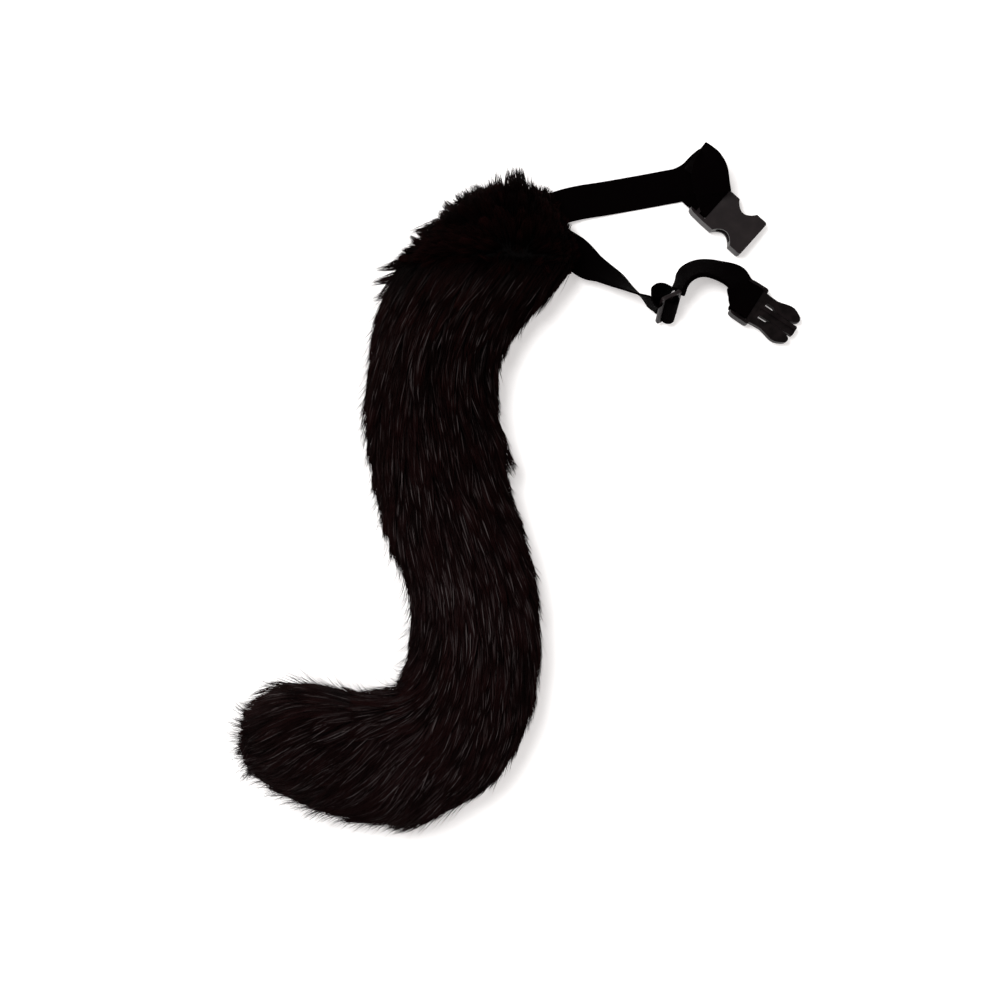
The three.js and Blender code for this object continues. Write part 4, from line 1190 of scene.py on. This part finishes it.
def makeSocket(material):
    half, long, thick = hardware["halfWidth"], hardware["socketLength"], hardware["socketThick"]
    start, stop, steps = long * 0.46, long * 0.8, 20
    side = [(0, half - 4), (0.5, half - 2.4), (1.4, half - 1.2), (4, half - 0.4)]
    side += [(hardware["slotEnd"], half), (start, half)]
    for i in range(1, steps):
        bow = math.sin(math.pi * i / steps) ** 0.8
        side.append((start + (stop - start) * i / steps, half - half * 0.4 * bow))
    side += [(stop, half), (long - 1.6, half), (long - 0.5, half - 0.5), (long, half - 1.6)]
    piece = strapSlot(plateFrom("socket_shell", mirrored(side), -thick / 2, thick / 2), thick)
    room, wall = thick / 2 - hardware["plate"], hardware["wall"]
    inside = slab(hardware["slotEnd"] + wall, long + 1, 2 * (half - wall), -room, room)
    combine(piece, [inside], "DIFFERENCE")
    roundEdges(piece, hardware["edge"])
    finishPiece(piece, socketFrame, "buckle_socket", material)


def prongOutline(side):
    body, reach, half = hardware["plugBody"], hardware["plugReach"], hardware["halfWidth"]
    outer = [(-0.06, 0.84), (0.1, 0.8), (0.3, 0.78), (0.42, 0.84), (0.55, 0.92), (0.64, 0.95), (0.72, 0.94)]
    outer += [(0.8, 0.88), (0.88, 0.79), (0.94, 0.7), (0.965, 0.6)]
    inner = [(0.965, 0.49), (0.93, 0.41), (0.86, 0.34), (0.74, 0.29), (0.45, 0.285), (0.36, 0.32)]
    inner += [(0.3, 0.41), (-0.06, 0.44)]
    return [(body + reach * along, half * across * side) for along, across in outer + inner]


def makePlug(material):
    half, body, reach, thick = (hardware[key] for key in ("halfWidth", "plugBody", "plugReach", "plugThick"))
    outline = [(0, half - 3), (0.4, half - 1.8), (1.5, half - 0.8), (4, half - 0.2)]
    outline += [(body - 2, half), (body - 0.6, half - 0.5), (body, half - 1.6)]
    piece = strapSlot(plateFrom("plug_body", mirrored(outline), -thick / 2, thick / 2), thick)
    recess = slab(hardware["slotEnd"] - 1, body + 1, hardware["slotWidth"], thick * 0.36, thick)
    combine(piece, [recess], "DIFFERENCE")
    front = body + reach
    guide = mirrored([(body - 1, 4.1), (front - 1, 4.1), (front - 0.2, 3.6), (front, 2.8)])
    deep = hardware["socketThick"] * 0.21
    joined = [plateFrom("guide", guide, -deep, deep)]
    joined.append(slab(body - 1.1, body + 3.6, 14.6, -deep * 1.1, deep * 1.1))
    for side in (1, -1):
        prong = prongOutline(side)
        joined.append(plateFrom("prong", prong if side > 0 else prong[::-1], -deep * 1.2, deep * 1.2))
    combine(piece, joined, "UNION")
    groove = slab(body + 2, front + 1, 1.8, deep * 0.5, thick)
    combine(piece, [groove], "DIFFERENCE")
    roundEdges(piece, hardware["edge"] * 0.7)
    finishPiece(piece, plugFrame, "buckle_plug", material)


def makeSlider(material):
    bar, slot = hardware["sliderBar"], hardware["sliderSlot"]
    wide, long = bar * 1.5 + slot, hardware["slotWidth"] / 2 + hardware["sliderEnd"]
    outline = []
    for cornerX, cornerY, turn in ((1, 1, 0), (-1, 1, 90), (-1, -1, 180), (1, -1, 270)):
        for step in range(5):
            angle = math.radians(turn + 22.5 * step)
            x = cornerX * (wide - 2) + 2 * math.cos(angle)
            outline.append((x, cornerY * (long - 2) + 2 * math.sin(angle)))
    thick = hardware["sliderThick"]
    piece = plateFrom("slider_frame", outline, -thick / 2, thick / 2)
    middle = (bar + slot) / 2
    cuts = []
    for at in (middle, -middle):
        cuts.append(slab(at - slot / 2, at + slot / 2, hardware["slotWidth"], -4, 4))
    combine(piece, cuts, "DIFFERENCE")
    roundEdges(piece, hardware["edge"] * 0.8)
    finishPiece(piece, sliderFrame, "slider", material)


def finishHardware():
    makeSocket(plasticMaterial("socketPlastic", hardware["gloss"]))
    # the plug's plastic is painted darker than the socket's, as painted shade
    makePlug(plasticMaterial("plugPlasticShaded", hardware["plugGloss"], Colour=hardware["plugShadeColour"]))
    makeSlider(plasticMaterial("sliderPlastic", hardware["gloss"], **{"Worn Amount": 1.0}))
    sleeve = underfurMaterial("sleeveCloth", hardware["sleeveColour"])
    nodes["belt_sleeve"].data.materials.clear()
    nodes["belt_sleeve"].data.materials.append(sleeve)
    print("hardware made")


scene.view_settings.view_transform = "Standard"
makeCamera()
makeSky()
makeAreaLight("keyLight", view["keyPlace"], view["keySize"], view["keyPower"])
makeAreaLight("fillLight", view["fillPlace"], view["fillSize"], view["fillPower"])
makeFloor()
groups = {"wovenRows": makeRibGroup(), "mouldedGrain": makePlasticGroup()}
makeFur()
makeBelt()
finishHardware()
